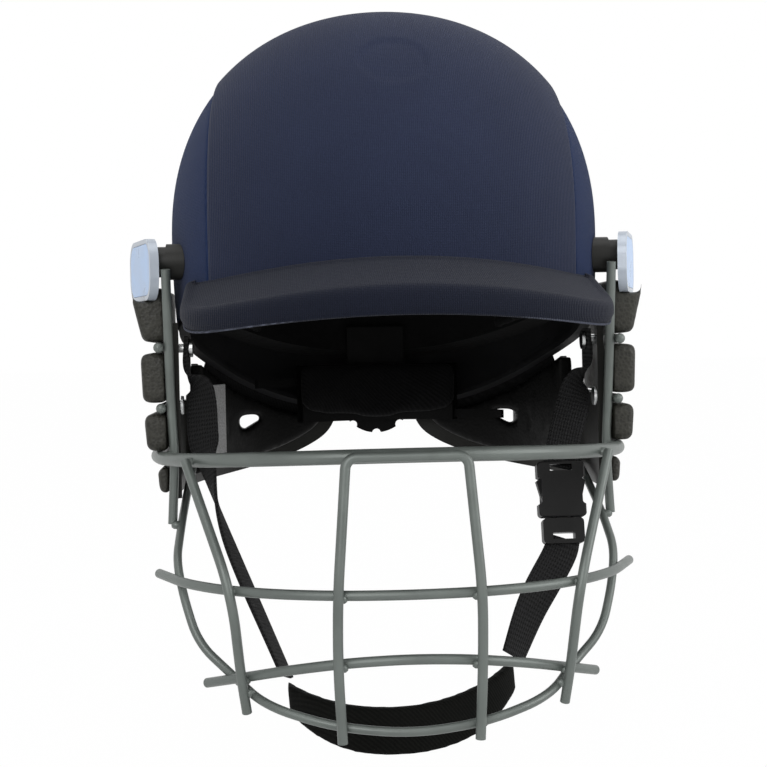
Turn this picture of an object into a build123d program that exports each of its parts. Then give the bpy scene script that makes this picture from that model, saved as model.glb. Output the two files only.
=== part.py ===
from build123d import *
import math
import os

# Cricket helmet with a steel wire face guard, in millimetres.
# +Z is up, the face looks along -Y, the wearer's left is +X.
# The origin is the middle of the head between the ears, at eye level.

# Fits and cuts
overrun = 10.0           # how far a cutting solid passes the piece it cuts
layer_gap = 0.2          # between the layers of the shell
seat_gap = 0.3           # between a piece and what carries it
weld_gap = 0.15          # between two wires at a weld
far_reach = 200.0        # longer than anything it has to cut

# Shell, as a domed form that is widest above the ears
half_width = 107.5       # outer face of the raised front panel
front_reach = 126.0
rear_reach = 128.0
widest_level = 65.0
crown_rise = 110.0       # crown above the widest level
lower_rise = 200.0       # size of the curve below the widest level
lower_drop = 118.0       # how far down that curve is used
dome_power = 2.2         # squareness of the dome's profile
panel_relief = 1.7       # the front panel stands this far above the side panels
side_cloth = 1.4
shell_wall = 3.2
liner_wall = 15.0
comfort_wall = 5.0
band_rise = 20.0         # top of the padded band above the widest level
half_length = (front_reach + rear_reach) / 2
dome_middle = (rear_reach - front_reach) / 2
stretch = half_length / half_width
panel_inset = panel_relief + side_cloth
shell_inset = panel_inset + layer_gap
liner_inset = shell_inset + shell_wall + layer_gap
comfort_inset = liner_inset + liner_wall + layer_gap

# Lower edge of the shell, seen from the side
rim_front = 38.0
rim_rear = -27.0
liner_front = 40.0
liner_rear = 2.0
rim_place_shares = (-1.08, -0.80, -0.48, 0.0, 0.39, 0.70, 0.97, 1.08)
rim_level_shares = (1.02, 0.97, 0.908, 0.723, 0.508, 0.231, 0.0, -0.06)
trim_height = 3.2
trim_lap = 1.0           # the edge binding is wider than the shell by this on each face

# Raised front panel
ridge_front = 87.0       # half width of the panel at the brow
ridge_rear = 74.0
disc_radius = 14.75      # round inset high on the front
disc_reach = 101.6
disc_level = 139.4
disc_tilt = 38.0         # degrees from level
disc_sink = 0.9
disc_wall = 0.8

# Peak
peak_half_width = 96.0
peak_tip_reach = 94.0
peak_reach = 178.0
peak_root_reach = 60.0   # where the side of the peak runs back into the shell
peak_wall = 12.4
peak_root_level = 51.0
peak_root_place = 118.0
peak_fall = 0.273        # fall of the peak for each unit forward
peak_top_radius = 184.0
peak_under_radius = 202.0
peak_corner_radius = 70.0
peak_edge_radius = 4.2
peak_cloth = 1.4
lining_wall = 1.6
lining_margin = 5.0

# Ear and neck guards
guard_half_width = 107.5
guard_front_reach = 126.0
guard_rear_reach = 122.0
guard_power = 2.2
guard_wall = 3.0
guard_floor = -61.0
guard_front = -35.5
ear_gap_front = -17.0
ear_gap_rear = 47.0
ear_gap_floor = -15.0
ear_gap_corner = 7.0
lobe_inner = 23.4        # half of the gap at the nape
lobe_across_shares = (0.0, 0.0, 0.05, 0.145, 0.40, 0.67, 1.05)
lobe_drop_shares = (-0.10, 0.50, 0.62, 0.72, 0.86, 0.94, 1.0)
neck_pad_wall = 8.0
neck_pad_margin = 5.5
neck_pad_front = 30.0
window_outer = 77.7      # three sided opening in each lobe
window_inner = 65.9
window_top = -26.0
window_outer_drop = 9.5
window_inner_drop = 3.0
slit_place = 81.7
slit_width = 1.6
dot_place = 61.3
dot_radius = 0.9
label_width = 20.0
label_height = 37.0
label_wall = 0.5
label_front = 38.0
label_top = -8.0

# Pads along the side of each ear guard
side_pad_front = -43.0
tail_pad_front = -33.0
side_pad_rear = 34.0
side_pad_inner = 107.8
side_pad_edge = 3.2
upper_pad = (15.2, 41.0, 118.0, 124.0)      # floor, top, reach at the floor, reach at the top
middle_pad = (-13.8, 9.8, 118.6, 119.4)
lower_pad = (-36.8, -19.2, 117.0, 118.4)
tail_pad = (-58.0, -45.4, 112.6, 113.4)

# Side plates that hold the face guard
plate_length = 50.0
plate_height = 29.0
plate_wall = 4.2
plate_tilt = 16.7        # degrees, its rear edge stands further out
plate_corner = 11.0
plate_across = 115.5     # middle of its inner face
plate_place = -29.0
plate_level = 49.5
face_margin = 2.2
face_wall = 1.0
spacer_radius = 8.5
spacer_step_radius = 7.2
spacer_place = -42.0
spacer_level = 53.0
spacer_root = 96.0
spacer_split = 105.5
screw_radius = 2.5
screw_head_radius = 4.6
screw_head_height = 2.0
screw_head_depth = 0.9   # above the inner face of the side plate
lower_head_height = 1.2
nut_radius = 7.0
nut_wall = 1.2
lower_screw_place = -30.0
lower_screw_level = -15.5

# Face guard wires
heavy_wire = 6.4
cage_wire = 4.4
edge_wire = 4.0
top_bar_half_width = 116.0
top_bar_reach = 131.0
top_bar_power = 2.0
top_bar_level = -35.0
top_bar_fall = 6.0
second_bar_half_width = 118.0
second_bar_reach = 139.0
second_bar_power = 2.2
second_bar_level = -92.7
second_bar_fall = 1.0
second_bar_end = 111.6
third_bar_half_width = 112.0
third_bar_reach = 134.5
third_bar_power = 2.0
third_bar_level = -120.5
third_bar_fall = 30.0
third_bar_end = 88.5
bar_rear = 34.0          # how far back the top bar and the side wires run
centre_bar_top = 25.6
centre_bar_low = 29.2
cage_floor = -156.0
centre_bar_corner = 5.0
outer_bar_top = 91.5
outer_bar_bend = 71.4
outer_bar_low = 69.0
outer_bar_overhang = 8.0
edge_across_shares = (0.0, 0.31, 0.585, 0.726, 0.875, 0.938, 0.973, 0.962, 0.95, 0.945)
edge_reach_shares = (1.0, 0.972, 0.872, 0.678, 0.61, 0.546, 0.466, 0.294, 0.02, -0.20)
edge_level_shares = (1.0, 0.98, 0.935, 0.882, 0.795, 0.665, 0.565, 0.465, 0.365, 0.315)
edge_half_width = 105.6
edge_reach = 131.0
edge_depth = 153.0
side_bar_across = 105.3
side_bar_top = 49.0
side_bar_floor = -72.0
side_bar_spreads = (0.0, 0.0, 0.0, -1.1, 0.7)
side_bar_reach_shares = (1.0, 0.874, 0.752, 0.728, 0.72)
side_bar_reach = 53.2
side_bar_node_levels = (12.5, -16.5)
side_wire_corner = 5.0

# Adjuster at the nape
dial_radius = 20.6
dial_wall = 6.4
dial_level = -18.0
dial_front = 99.0
dial_lugs = 9
dial_notch = 2.6
dial_notch_depth = 2.2
shaft_radius = 3.0
shaft_hole_gap = 0.3
pinion_teeth = 10
pinion_pitch_radius = 6.0
tooth_height = 1.5
tooth_root_width = 1.7
tooth_tip_width = 0.9
mesh_gap = 0.35
band_radius = 80.0
band_wall = 2.0
band_height = 4.5
band_reach_angle = 58.0
band_tail_angle = 12.0
cradle_half_width = 44.0
cradle_wall = 1.6
cradle_top = 1.0
cradle_floor = -31.0
cradle_pad_wall = 7.0
cradle_pad_half_width = 47.0
cradle_pad_top = 2.5
cradle_pad_floor = -31.0
cradle_pad_dip = 4.5
cap_screw_radius = 4.0
cap_screw_height = 1.6
hanger_half_width = 16.0
hanger_wall = 2.4
hanger_top = 22.0
hanger_foot = 8.0          # underside of the part that reaches back to the liner

# Chin strap
webbing_width = 16.0
webbing_wall = 1.8
strap_clearance = 3.0    # middle of a webbing end above the buckle, as the webbing leans
pivot_across = 98.0
pivot_place = -26.0
pivot_level = 12.0
pivot_pin_radius = 2.2
pivot_hole_gap = 0.35
pivot_head_radius = 4.4
pivot_head_wall = 1.5
cup_half_width = 52.0
cup_place = 108.0
cup_sag = 28.0
cup_wall = 6.0
cup_level = -147.5
cup_end_lift = 9.0
cup_height = 21.0
cup_end_height = 13.0
cup_tilt = 4.0           # degrees, the cup hangs a little lower on the wearer's right

# Buckle
buckle_across = 79.0
buckle_place = -55.0
buckle_level = -65.0
buckle_lean = 13.0       # degrees from upright
buckle_half_width = 11.3
buckle_half_length = 19.5
buckle_wall = 8.0
buckle_mouth = -7.0
pocket_half_width = 10.2
pocket_wall = 4.6
pocket_top = 13.0
waist_depth = 1.6
waist_floor = -1.0
waist_top = 12.0
bar_slot_width = 10.5
bar_slot_height = 3.0
bar_slot_level = 15.0
plug_half_width = 9.8
plug_tongue_half_width = 2.2
prong_root = -5.0
prong_wall = 2.6
prong_top = 12.0
prong_spread = 5.4
prong_floor_reach = 8.6
prong_tip_reach = 11.8
prong_depth = 3.8
prong_gap = 0.5

os.makedirs("parts", exist_ok=True)


# Small helpers for forms that several pieces share
def superPoint(half, reach, power, angle):
    across = abs(math.cos(angle)) ** (2 / power)
    along = abs(math.sin(angle)) ** (2 / power)
    return half * math.copysign(across, math.cos(angle)), reach * math.copysign(along, math.sin(angle))


def prism_x(points, start, end):
    """A plate whose outline lies in the side view, between two places across."""
    outline = [Vector(start, along, level) for along, level in points]
    face = Face(Wire(Polyline(*outline, close=True)))
    return extrude(face, amount=end - start, dir=(1, 0, 0))


def prism_y(points, start, end):
    """A plate whose outline lies in the front view, between two places along."""
    outline = [Vector(across, start, level) for across, level in points]
    face = Face(Wire(Polyline(*outline, close=True)))
    return extrude(face, amount=end - start, dir=(0, 1, 0))


def block(low, high):
    size = [top - floor for floor, top in zip(low, high)]
    middle = [(top + floor) / 2 for floor, top in zip(low, high)]
    return Pos(*middle) * Box(*size)


def rod_x(radius, start, end, place, level):
    return Pos((start + end) / 2, place, level) * Rot(0, 90, 0) * Cylinder(radius, end - start)


def rod_y(radius, start, end, across, level):
    return Pos(across, (start + end) / 2, level) * Rot(90, 0, 0) * Cylinder(radius, end - start)


def bent_path(points, radius_share=0.45):
    corners = [Vector(*point) for point in points]
    radii = []
    for before, corner, after in zip(corners, corners[1:], corners[2:]):
        turn = math.radians((corner - before).get_angle(after - corner))
        run = min((corner - before).length, (after - corner).length)
        radii.append(radius_share * run / math.tan(turn / 2))
    return FilletPolyline(*corners, radius=radii)


def wire_rod(points, diameter):
    path = bent_path(points)
    section = Plane(path @ 0, z_dir=path % 0) * Circle(diameter / 2)
    return sweep(section, path=path)


def mirrored(solid):
    return mirror(solid, about=Plane.YZ)


# Dome shaped layers. They are turned and cut as round forms, and then stretched from front to back.
def dome_profile(inset, drop_limit):
    half = half_width - inset
    rise = crown_rise - inset
    fall = lower_rise - inset
    upper = []
    for step in range(7):
        across, level = superPoint(half, rise, dome_power, math.pi / 2 * step / 6)
        upper.append((across if step < 6 else 0, 0, widest_level + level))
    lower = []
    for step in range(4):
        drop = drop_limit * step / 3
        across = half * (1 - (drop / fall) ** dome_power) ** (1 / dome_power)
        lower.append((across, 0, widest_level - drop))
    shoulder = Spline(*upper, tangents=[(0, 0, 1), (-1, 0, 0)])
    skirt = Spline(*lower)
    low = lower[-1]
    under = Line(low, (0, 0, low[2]))
    axis = Line((0, 0, low[2]), upper[-1])
    return Face(Wire([shoulder, skirt, under, axis]))


def layer(outer_inset, inner_inset):
    outer = revolve(dome_profile(outer_inset, lower_drop), axis=Axis.Z)
    return outer - revolve(dome_profile(inner_inset, lower_drop + overrun), axis=Axis.Z)


def stretched(solid):
    return scale(solid, by=(1, stretch, 1)).moved(Location((0, dome_middle, 0)))


def squeezed(along):
    """A place along, as it is before the stretch."""
    return (along - dome_middle) / stretch


def half_dome(inset, side):
    """The stretched form in front of (-1) or behind (1) the widest place."""
    form = revolve(dome_profile(inset, lower_drop), axis=Axis.Z, revolution_arc=180)
    if side < 0:
        form = Rot(0, 0, 180) * form
    return stretched(form)


def clear_of_shell(solid, gap):
    """Cut away what lies inside the shell's outer form."""
    return solid - half_dome(-gap, -1) - half_dome(-gap, 1)


def above_edge(front_level, rear_level, drop=0.0):
    """Everything above the edge line of the shell, lowered by a drop, before the stretch or at full size."""
    return edge_prism(front_level, rear_level, drop, 1.0, 0.0)


def above_edge_round(front_level, rear_level, drop=0.0):
    return edge_prism(front_level, rear_level, drop, stretch, dome_middle)


def edge_prism(front_level, rear_level, drop, divisor, shift):
    points = []
    for place, level in zip(rim_place_shares, rim_level_shares):
        reach = front_reach if place < 0 else rear_reach
        along = (place * reach - shift) / divisor
        points.append((-far_reach, along, rear_level + level * (front_level - rear_level) - drop))
    edge = Spline(*points)
    first = points[0]
    last = points[-1]
    back = Line(last, (last[0], last[1], far_reach))
    top = Line((last[0], last[1], far_reach), (first[0], first[1], far_reach))
    front = Line((first[0], first[1], far_reach), first)
    face = Face(Wire([edge, back, top, front]))
    return extrude(face, amount=2 * far_reach, dir=(1, 0, 0))


def guard_form(inset, low, high):
    """The upright form that the ear and neck guards follow."""
    points = []
    for step in range(28):
        angle = 2 * math.pi * step / 28
        reach = guard_rear_reach if math.sin(angle) > 0 else guard_front_reach
        across, along = superPoint(guard_half_width - inset, reach - inset, guard_power, angle)
        points.append((across, along, low))
    face = Face(Wire(Spline(*points, periodic=True)))
    return extrude(face, amount=high - low, dir=(0, 0, 1))


# Shell, cloth panels and edge binding
def make_shell():
    form = layer(shell_inset, shell_inset + shell_wall) & above_edge_round(rim_front, rim_rear)
    bore = screw_bore(screw_radius + seat_gap)
    return stretched(form - bore - mirrored(bore))


def screw_bore(radius):
    """A hole through the layers at the side plate's screw, before the stretch."""
    place = squeezed(spacer_place)
    return rod_x(radius, spacer_root - 2 * overrun, half_width + overrun, place, spacer_level)


def ridge_prism(gap):
    front = squeezed(-front_reach - overrun)
    rear = squeezed(rear_reach + overrun)
    wide = ridge_front + gap
    narrow = ridge_rear + gap
    floor = rim_rear - 2 * overrun
    points = [(wide, front, floor), (narrow, rear, floor), (-narrow, rear, floor), (-wide, front, floor)]
    face = Face(Wire(Polyline(*points, close=True)))
    return extrude(face, amount=far_reach * 1.2, dir=(0, 0, 1))


def disc_plug(radius):
    lean = math.radians(disc_tilt)
    plane = Plane(origin=(0, -disc_reach, disc_level), z_dir=(0, -math.cos(lean), math.sin(lean)))
    return plane * Cylinder(radius, 4 * overrun)


def squeezed_plug(radius):
    """The plug as it is before the stretch: a level ellipse drawn out along the squeezed axis."""
    lean = math.radians(disc_tilt)
    start = squeezed(-disc_reach + 4 * overrun * math.cos(lean))
    base = Pos(0, start, disc_level - 4 * overrun * math.sin(lean))
    ahead = (0, -math.cos(lean) / stretch, math.sin(lean))
    face = base * Ellipse(radius, radius / math.sin(lean) / stretch)
    return extrude(face, amount=6 * overrun * math.hypot(ahead[1], ahead[2]), dir=ahead)


def make_front_panel():
    form = layer(0.0, panel_inset) & above_edge_round(rim_front, rim_rear)
    form &= ridge_prism(-layer_gap / 2)
    floor = revolve(dome_profile(disc_sink + disc_wall + layer_gap / 2, lower_drop), axis=Axis.Z)
    return stretched(form - (squeezed_plug(disc_radius) - floor))


def make_crown_disc():
    disc = disc_plug(disc_radius - layer_gap) & half_dome(disc_sink, -1)
    return largest(disc - half_dome(disc_sink + disc_wall, -1))


def make_side_panel():
    form = layer(panel_relief, panel_inset) & above_edge_round(rim_front, rim_rear)
    form -= ridge_prism(layer_gap / 2)
    form &= block((0, -far_reach, -far_reach), (far_reach, far_reach, far_reach))
    return stretched(form - screw_bore(screw_radius + seat_gap))


def make_rim_trim():
    band = above_edge_round(rim_front, rim_rear, trim_height)
    band -= above_edge_round(rim_front, rim_rear, layer_gap)
    return stretched(layer(shell_inset - trim_lap, shell_inset + shell_wall + trim_lap) & band)


# Peak
def peak_plan(margin):
    """Plan of the peak as an upright prism: a broad front arc between two corner arcs."""
    half = peak_half_width - margin
    depth = peak_reach - margin - peak_tip_reach
    small = peak_corner_radius - margin
    inset = half - small
    large = (inset ** 2 + depth ** 2 - small ** 2) / (2 * (depth - small))
    turn = math.atan2(large - depth, inset)
    tip = -peak_tip_reach
    join = (inset + small * math.cos(turn), tip - small * math.sin(turn))
    middle = (inset + small * math.cos(turn / 2), tip - small * math.sin(turn / 2))
    back = -peak_root_reach + margin
    edges = [
        ThreePointArc((half, tip), middle, join),
        ThreePointArc(join, (0, tip - depth), (-join[0], join[1])),
        ThreePointArc((-join[0], join[1]), (-middle[0], middle[1]), (-half, tip)),
        Line((-half, tip), (-half, back)),
        Line((-half, back), (half, back)),
        Line((half, back), (half, tip)),
    ]
    face = Face(Wire(edges)).moved(Location((0, 0, -overrun)))
    return extrude(face, amount=far_reach / 2, dir=(0, 0, 1))


def peak_slab(top_drop, bottom_drop):
    """A crowned plate that slopes down towards the front."""
    start = -peak_root_reach / 2
    top = peak_root_level + (peak_root_place + start) * peak_fall
    edge = math.radians(40)
    corners = []
    for drop in (top_drop, bottom_drop):
        radius = peak_top_radius + (peak_under_radius - peak_top_radius) * drop / peak_wall
        apex = top - drop
        low = apex - radius * (1 - math.cos(edge))
        side = radius * math.sin(edge)
        corners.append(((-side, start, low), (0, start, apex), (side, start, low)))
    upper = ThreePointArc(*corners[0])
    lower = ThreePointArc(*corners[1])
    left = Line(corners[0][2], corners[1][2])
    right = Line(corners[1][0], corners[0][0])
    face = Face(Wire([upper, left, lower, right]))
    slope = Vector(0, -1, -peak_fall)
    return extrude(face, amount=far_reach * slope.length, dir=slope)


def make_peak_parts():
    full = peak_plan(0) & peak_slab(0, peak_wall)
    front_edges = [edge for edge in full.edges() if edge.center().Y < -peak_tip_reach * 0.7]
    outline = [edge for edge in front_edges if edge.length > 2 * peak_wall]
    rounded = fillet(outline, peak_edge_radius)
    rounded = clear_of_shell(rounded, layer_gap)
    inner_drop = peak_cloth + layer_gap
    core = peak_plan(inner_drop) & peak_slab(inner_drop, peak_wall - lining_wall - layer_gap)
    core = largest(clear_of_shell(core, layer_gap) & rounded)
    lining_top = peak_wall - lining_wall
    lining = peak_plan(lining_margin + layer_gap) & peak_slab(lining_top + layer_gap / 2, peak_wall)
    lining = largest(clear_of_shell(lining, layer_gap))
    hollow = peak_plan(peak_cloth) & peak_slab(peak_cloth, lining_top)
    cover = rounded - hollow - (peak_plan(lining_margin) & peak_slab(lining_top, peak_wall + overrun))
    return core, largest(cover), lining


def largest(shape):
    return max(shape.solids(), key=lambda solid: solid.volume)


# Liners
def make_impact_liner():
    form = layer(liner_inset, liner_inset + liner_wall) & above_edge_round(liner_front, liner_rear)
    pocket = screw_bore(nut_radius + seat_gap)
    return stretched(form - pocket - mirrored(pocket))


def comfort_band(front, rear, side):
    """Part of the padded band between two places along."""
    low = squeezed(front)
    high = squeezed(rear)
    band = layer(comfort_inset, comfort_inset + comfort_wall)
    band &= above_edge_round(liner_front, liner_rear, -layer_gap)
    band &= block((side, low, -far_reach), (far_reach, high, widest_level + band_rise))
    return stretched(band)


def make_brow_pad():
    return comfort_band(-far_reach, -front_reach * 0.42, -far_reach)


def make_temple_pad():
    return comfort_band(-front_reach * 0.34, rear_reach * 0.46, 0)


def make_crown_pad():
    cap = layer(comfort_inset, comfort_inset + comfort_wall)
    middle = widest_level + crown_rise / 2
    ring = Cylinder(half_width * 0.36, crown_rise) - Cylinder(half_width * 0.10, 2 * crown_rise)
    return stretched(largest(cap & (Pos(0, 0, middle) * ring)))


# Ear and neck guards
def lobe_outline(margin):
    """Front view outline of a guard: low at the ear, rounded at the nape."""
    span = guard_half_width - lobe_inner
    points = []
    for across, drop in zip(lobe_across_shares, lobe_drop_shares):
        level = drop * guard_floor + margin
        points.append((lobe_inner + margin + across * (span - margin), 0, level))
    edge = Spline(*points)
    first = points[0]
    last = points[-1]
    side = Line(last, (last[0], 0, far_reach))
    top = Line((last[0], 0, far_reach), (first[0], 0, far_reach))
    inner = Line((first[0], 0, far_reach), first)
    face = Face(Wire([edge, side, top, inner]))
    return extrude(face.moved(Location((0, guard_front, 0))), amount=far_reach, dir=(0, 1, 0))


def guard_windows():
    """Openings through a lobe, cut straight back."""
    start = lobe_inner * 2
    corners = [(window_outer, window_top), (window_outer, window_top - window_outer_drop),
               (window_inner, window_top - window_inner_drop), (window_inner, window_top)]
    triangle = prism_y(corners, start, far_reach)
    slit = block((slit_place, start, window_top - window_outer_drop),
                 (slit_place + slit_width, far_reach, window_top))
    dot = rod_y(dot_radius, start, far_reach, dot_place, window_top - window_inner_drop / 2)
    return triangle, slit, dot


def make_ear_guard():
    high = rim_front + overrun
    wall = guard_form(0, guard_floor, high) - guard_form(guard_wall, guard_floor - overrun, high + overrun)
    guard = wall & lobe_outline(0)
    guard -= above_edge(rim_front, rim_rear, trim_height + seat_gap)
    gap = block((0, ear_gap_front, ear_gap_floor), (far_reach, ear_gap_rear, far_reach / 2))
    gap = fillet(gap.edges().filter_by(Axis.X).group_by(Axis.Z)[0], ear_gap_corner)
    guard -= gap
    for window in guard_windows():
        guard -= window
    hole = rod_x(screw_radius + seat_gap, half_width * 0.7, far_reach, lower_screw_place, lower_screw_level)
    guard -= hole
    pin = rod_x(pivot_pin_radius, half_width * 0.7, far_reach, pivot_place, pivot_level)
    return guard - pin


def make_neck_pad():
    high = rim_front + overrun
    outer = guard_wall + seat_gap
    wall = guard_form(outer, guard_floor, high)
    wall -= guard_form(outer + neck_pad_wall, guard_floor - overrun, high + overrun)
    pad = wall & lobe_outline(neck_pad_margin)
    pad -= above_edge(rim_front, rim_rear, trim_height + neck_pad_margin)
    pad &= block((0, neck_pad_front, -far_reach), (far_reach, far_reach, far_reach))
    for window in guard_windows()[:2]:
        pad -= window
    return pad


def make_label():
    outer = guard_wall + 2 * seat_gap + neck_pad_wall
    wall = guard_form(outer, guard_floor, 0)
    wall -= guard_form(outer + label_wall, guard_floor - overrun, overrun)
    zone = block((-far_reach, label_front, label_top - label_height), (0, label_front + label_width, label_top))
    return wall & zone


def make_side_pad(sizes, front=side_pad_front):
    floor, top, low_reach, high_reach = sizes
    profile = [(side_pad_inner, floor), (low_reach, floor), (high_reach, top), (side_pad_inner, top)]
    pad = prism_y(profile, front, side_pad_rear)
    outer_edges = [edge for edge in pad.edges() if edge.center().X > side_pad_inner + side_pad_edge]
    pad = fillet(outer_edges, side_pad_edge)
    pad -= guard_form(-seat_gap, guard_floor, rim_front + overrun)
    margin = -seat_gap
    pad -= extrude(plate_plane(margin) * plate_outline(margin), amount=overrun)
    return largest(clear_of_shell(pad, seat_gap - panel_relief))


# Side plates, spacers and screws
def plate_plane(depth):
    lean = math.radians(plate_tilt)
    normal = Vector(math.cos(lean), -math.sin(lean), 0)
    origin = Vector(plate_across, plate_place, plate_level) + normal * depth
    return Plane(origin=origin, x_dir=(math.sin(lean), math.cos(lean), 0), z_dir=normal)


def plate_outline(margin):
    return RectangleRounded(plate_length - 2 * margin, plate_height - 2 * margin, plate_corner - margin)


def make_plate():
    plate = extrude(plate_plane(0) * plate_outline(0), amount=plate_wall)
    plate -= extrude(plate_plane(plate_wall - face_wall) * plate_outline(face_margin), amount=overrun)
    plate -= screw_head(screw_head_radius + seat_gap, screw_head_depth - weld_gap, overrun)
    return plate - rod_x(screw_radius + seat_gap, spacer_root, far_reach, spacer_place, spacer_level)


def screw_head(radius, depth, height):
    """A disc at the spacer's screw, in line with the side plate."""
    along = (spacer_place - plate_place) / math.cos(math.radians(plate_tilt))
    disc = Pos(along, spacer_level - plate_level) * Circle(radius)
    return extrude(plate_plane(depth) * disc, amount=height)


def make_plate_face():
    outline = plate_outline(face_margin + layer_gap)
    return extrude(plate_plane(plate_wall - face_wall + layer_gap) * outline, amount=face_wall - layer_gap)


def make_spacer():
    spacer = rod_x(spacer_radius, spacer_root, spacer_split, spacer_place, spacer_level)
    spacer += rod_x(spacer_step_radius, spacer_split, far_reach * 0.65, spacer_place, spacer_level)
    spacer = clear_of_shell(spacer, seat_gap - panel_relief)
    cut_plane = plate_plane(-seat_gap)
    spacer -= extrude(cut_plane * Rectangle(far_reach, far_reach), amount=far_reach / 2)
    return largest(spacer) - rod_x(screw_radius + seat_gap, 0, far_reach, spacer_place, spacer_level)


def make_screws():
    plate_inner = plate_across + (spacer_place - plate_place) * math.tan(math.radians(plate_tilt))
    nut_face = spacer_nut_face()
    end = plate_inner + screw_head_height
    upper = rod_x(screw_radius, nut_face - nut_wall, end, spacer_place, spacer_level)
    upper += screw_head(screw_head_radius, screw_head_depth, screw_head_height)
    inner = guard_inner_face(lower_screw_place)
    end = side_pad_inner - 4 * seat_gap
    seat = inner - 4 * seat_gap
    lower = rod_x(screw_radius, seat - lower_head_height / 2, end, lower_screw_place, lower_screw_level)
    dome_head = Pos(seat, lower_screw_place, lower_screw_level) * Sphere(screw_head_radius)
    dome_head &= block((seat - lower_head_height, -far_reach, -far_reach), (seat, 0, far_reach))
    lower += dome_head
    return [upper, lower, mirrored(upper), mirrored(lower)]


def guard_inner_face(place):
    share = (abs(place) / (guard_front_reach - guard_wall)) ** guard_power
    return (guard_half_width - guard_wall) * (1 - share) ** (1 / guard_power)


def spacer_nut_face():
    """Inner face of the shell at the spacer screw."""
    inset = shell_inset + shell_wall
    drop = (widest_level - spacer_level) / (lower_rise - inset)
    ring = (1 - drop ** dome_power) ** (1 / dome_power)
    along = squeezed(spacer_place) / ((half_width - inset) * ring)
    return (half_width - inset) * ring * math.sqrt(1 - along ** 2)


def make_nuts():
    face = spacer_nut_face()
    flange = rod_x(nut_radius, face - 2 * nut_wall - layer_gap, face - nut_wall, spacer_place, spacer_level)
    flange -= rod_x(screw_radius, 0, far_reach, spacer_place, spacer_level)
    flange &= half_dome(shell_inset + shell_wall + layer_gap / 2, -1)
    return [flange, mirrored(flange)]


# Face guard
bars = {
    "top": (top_bar_half_width, top_bar_reach, top_bar_power, top_bar_level, top_bar_fall),
    "second": (second_bar_half_width, second_bar_reach, second_bar_power, second_bar_level, second_bar_fall),
    "third": (third_bar_half_width, third_bar_reach, third_bar_power, third_bar_level, third_bar_fall),
}


def bar_point(name, across, stand_off=0.0):
    """A point of a cross bar, moved outward by a stand off."""
    half, reach, power, level, fall = bars[name]
    share = across / half
    along = -reach * (1 - abs(share) ** power) ** (1 / power)
    out_across = abs(share) ** (power - 1) / half
    out_along = (abs(along) / reach) ** (power - 1) / reach
    length = math.hypot(out_across, out_along)
    height = level - fall * share ** 2
    return Vector(across + stand_off * out_across / length, along - stand_off * out_along / length, height)


def both_sides(points):
    """Mirror a list that starts at the middle."""
    far_side = [Vector(-point.X, point.Y, point.Z) for point in reversed(points[1:])]
    return far_side + points


def make_top_bar():
    shares = (0.0, 0.26, 0.50, 0.70, 0.85, 0.945)
    points = [bar_point("top", share * top_bar_half_width) for share in shares]
    level = top_bar_level - top_bar_fall
    points.append(Vector(top_bar_half_width, -top_bar_reach * 0.06, level))
    points.append(Vector(top_bar_half_width - heavy_wire * 0.4, bar_rear, level))
    return wire_rod(both_sides(points), heavy_wire)


def make_second_bar():
    shares = (0.0, 0.27, 0.52, 0.72, 0.87, 1.0)
    points = [bar_point("second", share * second_bar_end) for share in shares]
    return wire_rod(both_sides(points), cage_wire)


def make_third_bar():
    shares = (0.0, 0.30, 0.58, 0.82, 1.0)
    points = [bar_point("third", share * third_bar_end) for share in shares]
    return wire_rod(both_sides(points), cage_wire)


def edge_point(index):
    return Vector(edge_half_width * edge_across_shares[index], -edge_reach * edge_reach_shares[index],
                  -edge_depth * edge_level_shares[index])


def make_perimeter_wire():
    points = [edge_point(index) for index in range(len(edge_across_shares))]
    return wire_rod(both_sides(points), edge_wire)


def make_centre_bars():
    stand = (heavy_wire + cage_wire) / 2 + weld_gap
    thin = cage_wire + weld_gap
    top = Vector(centre_bar_top, -top_bar_reach - stand, top_bar_level)
    second = bar_point("second", centre_bar_low, thin + weld_gap)
    third = bar_point("third", centre_bar_low, thin)
    low_reach = edge_reach * edge_reach_shares[1] + (edge_wire + cage_wire) / 2 + weld_gap
    low = Vector(centre_bar_low, -low_reach, cage_floor)
    leg = [top, second, third, low]
    far_leg = [Vector(-point.X, point.Y, point.Z) for point in leg]
    points = list(reversed(far_leg)) + leg
    corners = []
    for before, corner, after in zip(points, points[1:], points[2:]):
        turn = math.radians((corner - before).get_angle(after - corner))
        run = min((corner - before).length, (after - corner).length)
        corners.append(min(0.45 * run / math.tan(turn / 2), far_reach))
    corners[2] = centre_bar_corner
    corners[3] = centre_bar_corner
    path = FilletPolyline(*points, radius=corners)
    return sweep(Plane(path @ 0, z_dir=path % 0) * Circle(cage_wire / 2), path=path)


def make_outer_bar():
    thin = cage_wire + weld_gap
    top = bar_point("top", outer_bar_top, (heavy_wire + cage_wire) / 2 + weld_gap)
    bend = bar_point("second", outer_bar_bend, thin * 1.3)
    third = bar_point("third", outer_bar_low, thin)
    low = third + Vector(-outer_bar_overhang * 0.25, outer_bar_overhang * 0.5, -2 * outer_bar_overhang)
    return wire_rod([top, bend, third, low], cage_wire)


def side_bar_points():
    levels = (side_bar_top,) + side_bar_node_levels + (top_bar_level - top_bar_fall, side_bar_floor)
    points = []
    for index, level in enumerate(levels):
        across = side_bar_across + side_bar_spreads[index]
        points.append(Vector(across, -side_bar_reach * side_bar_reach_shares[index], level))
    return points


def make_side_bar():
    return wire_rod(side_bar_points(), cage_wire)


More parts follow.
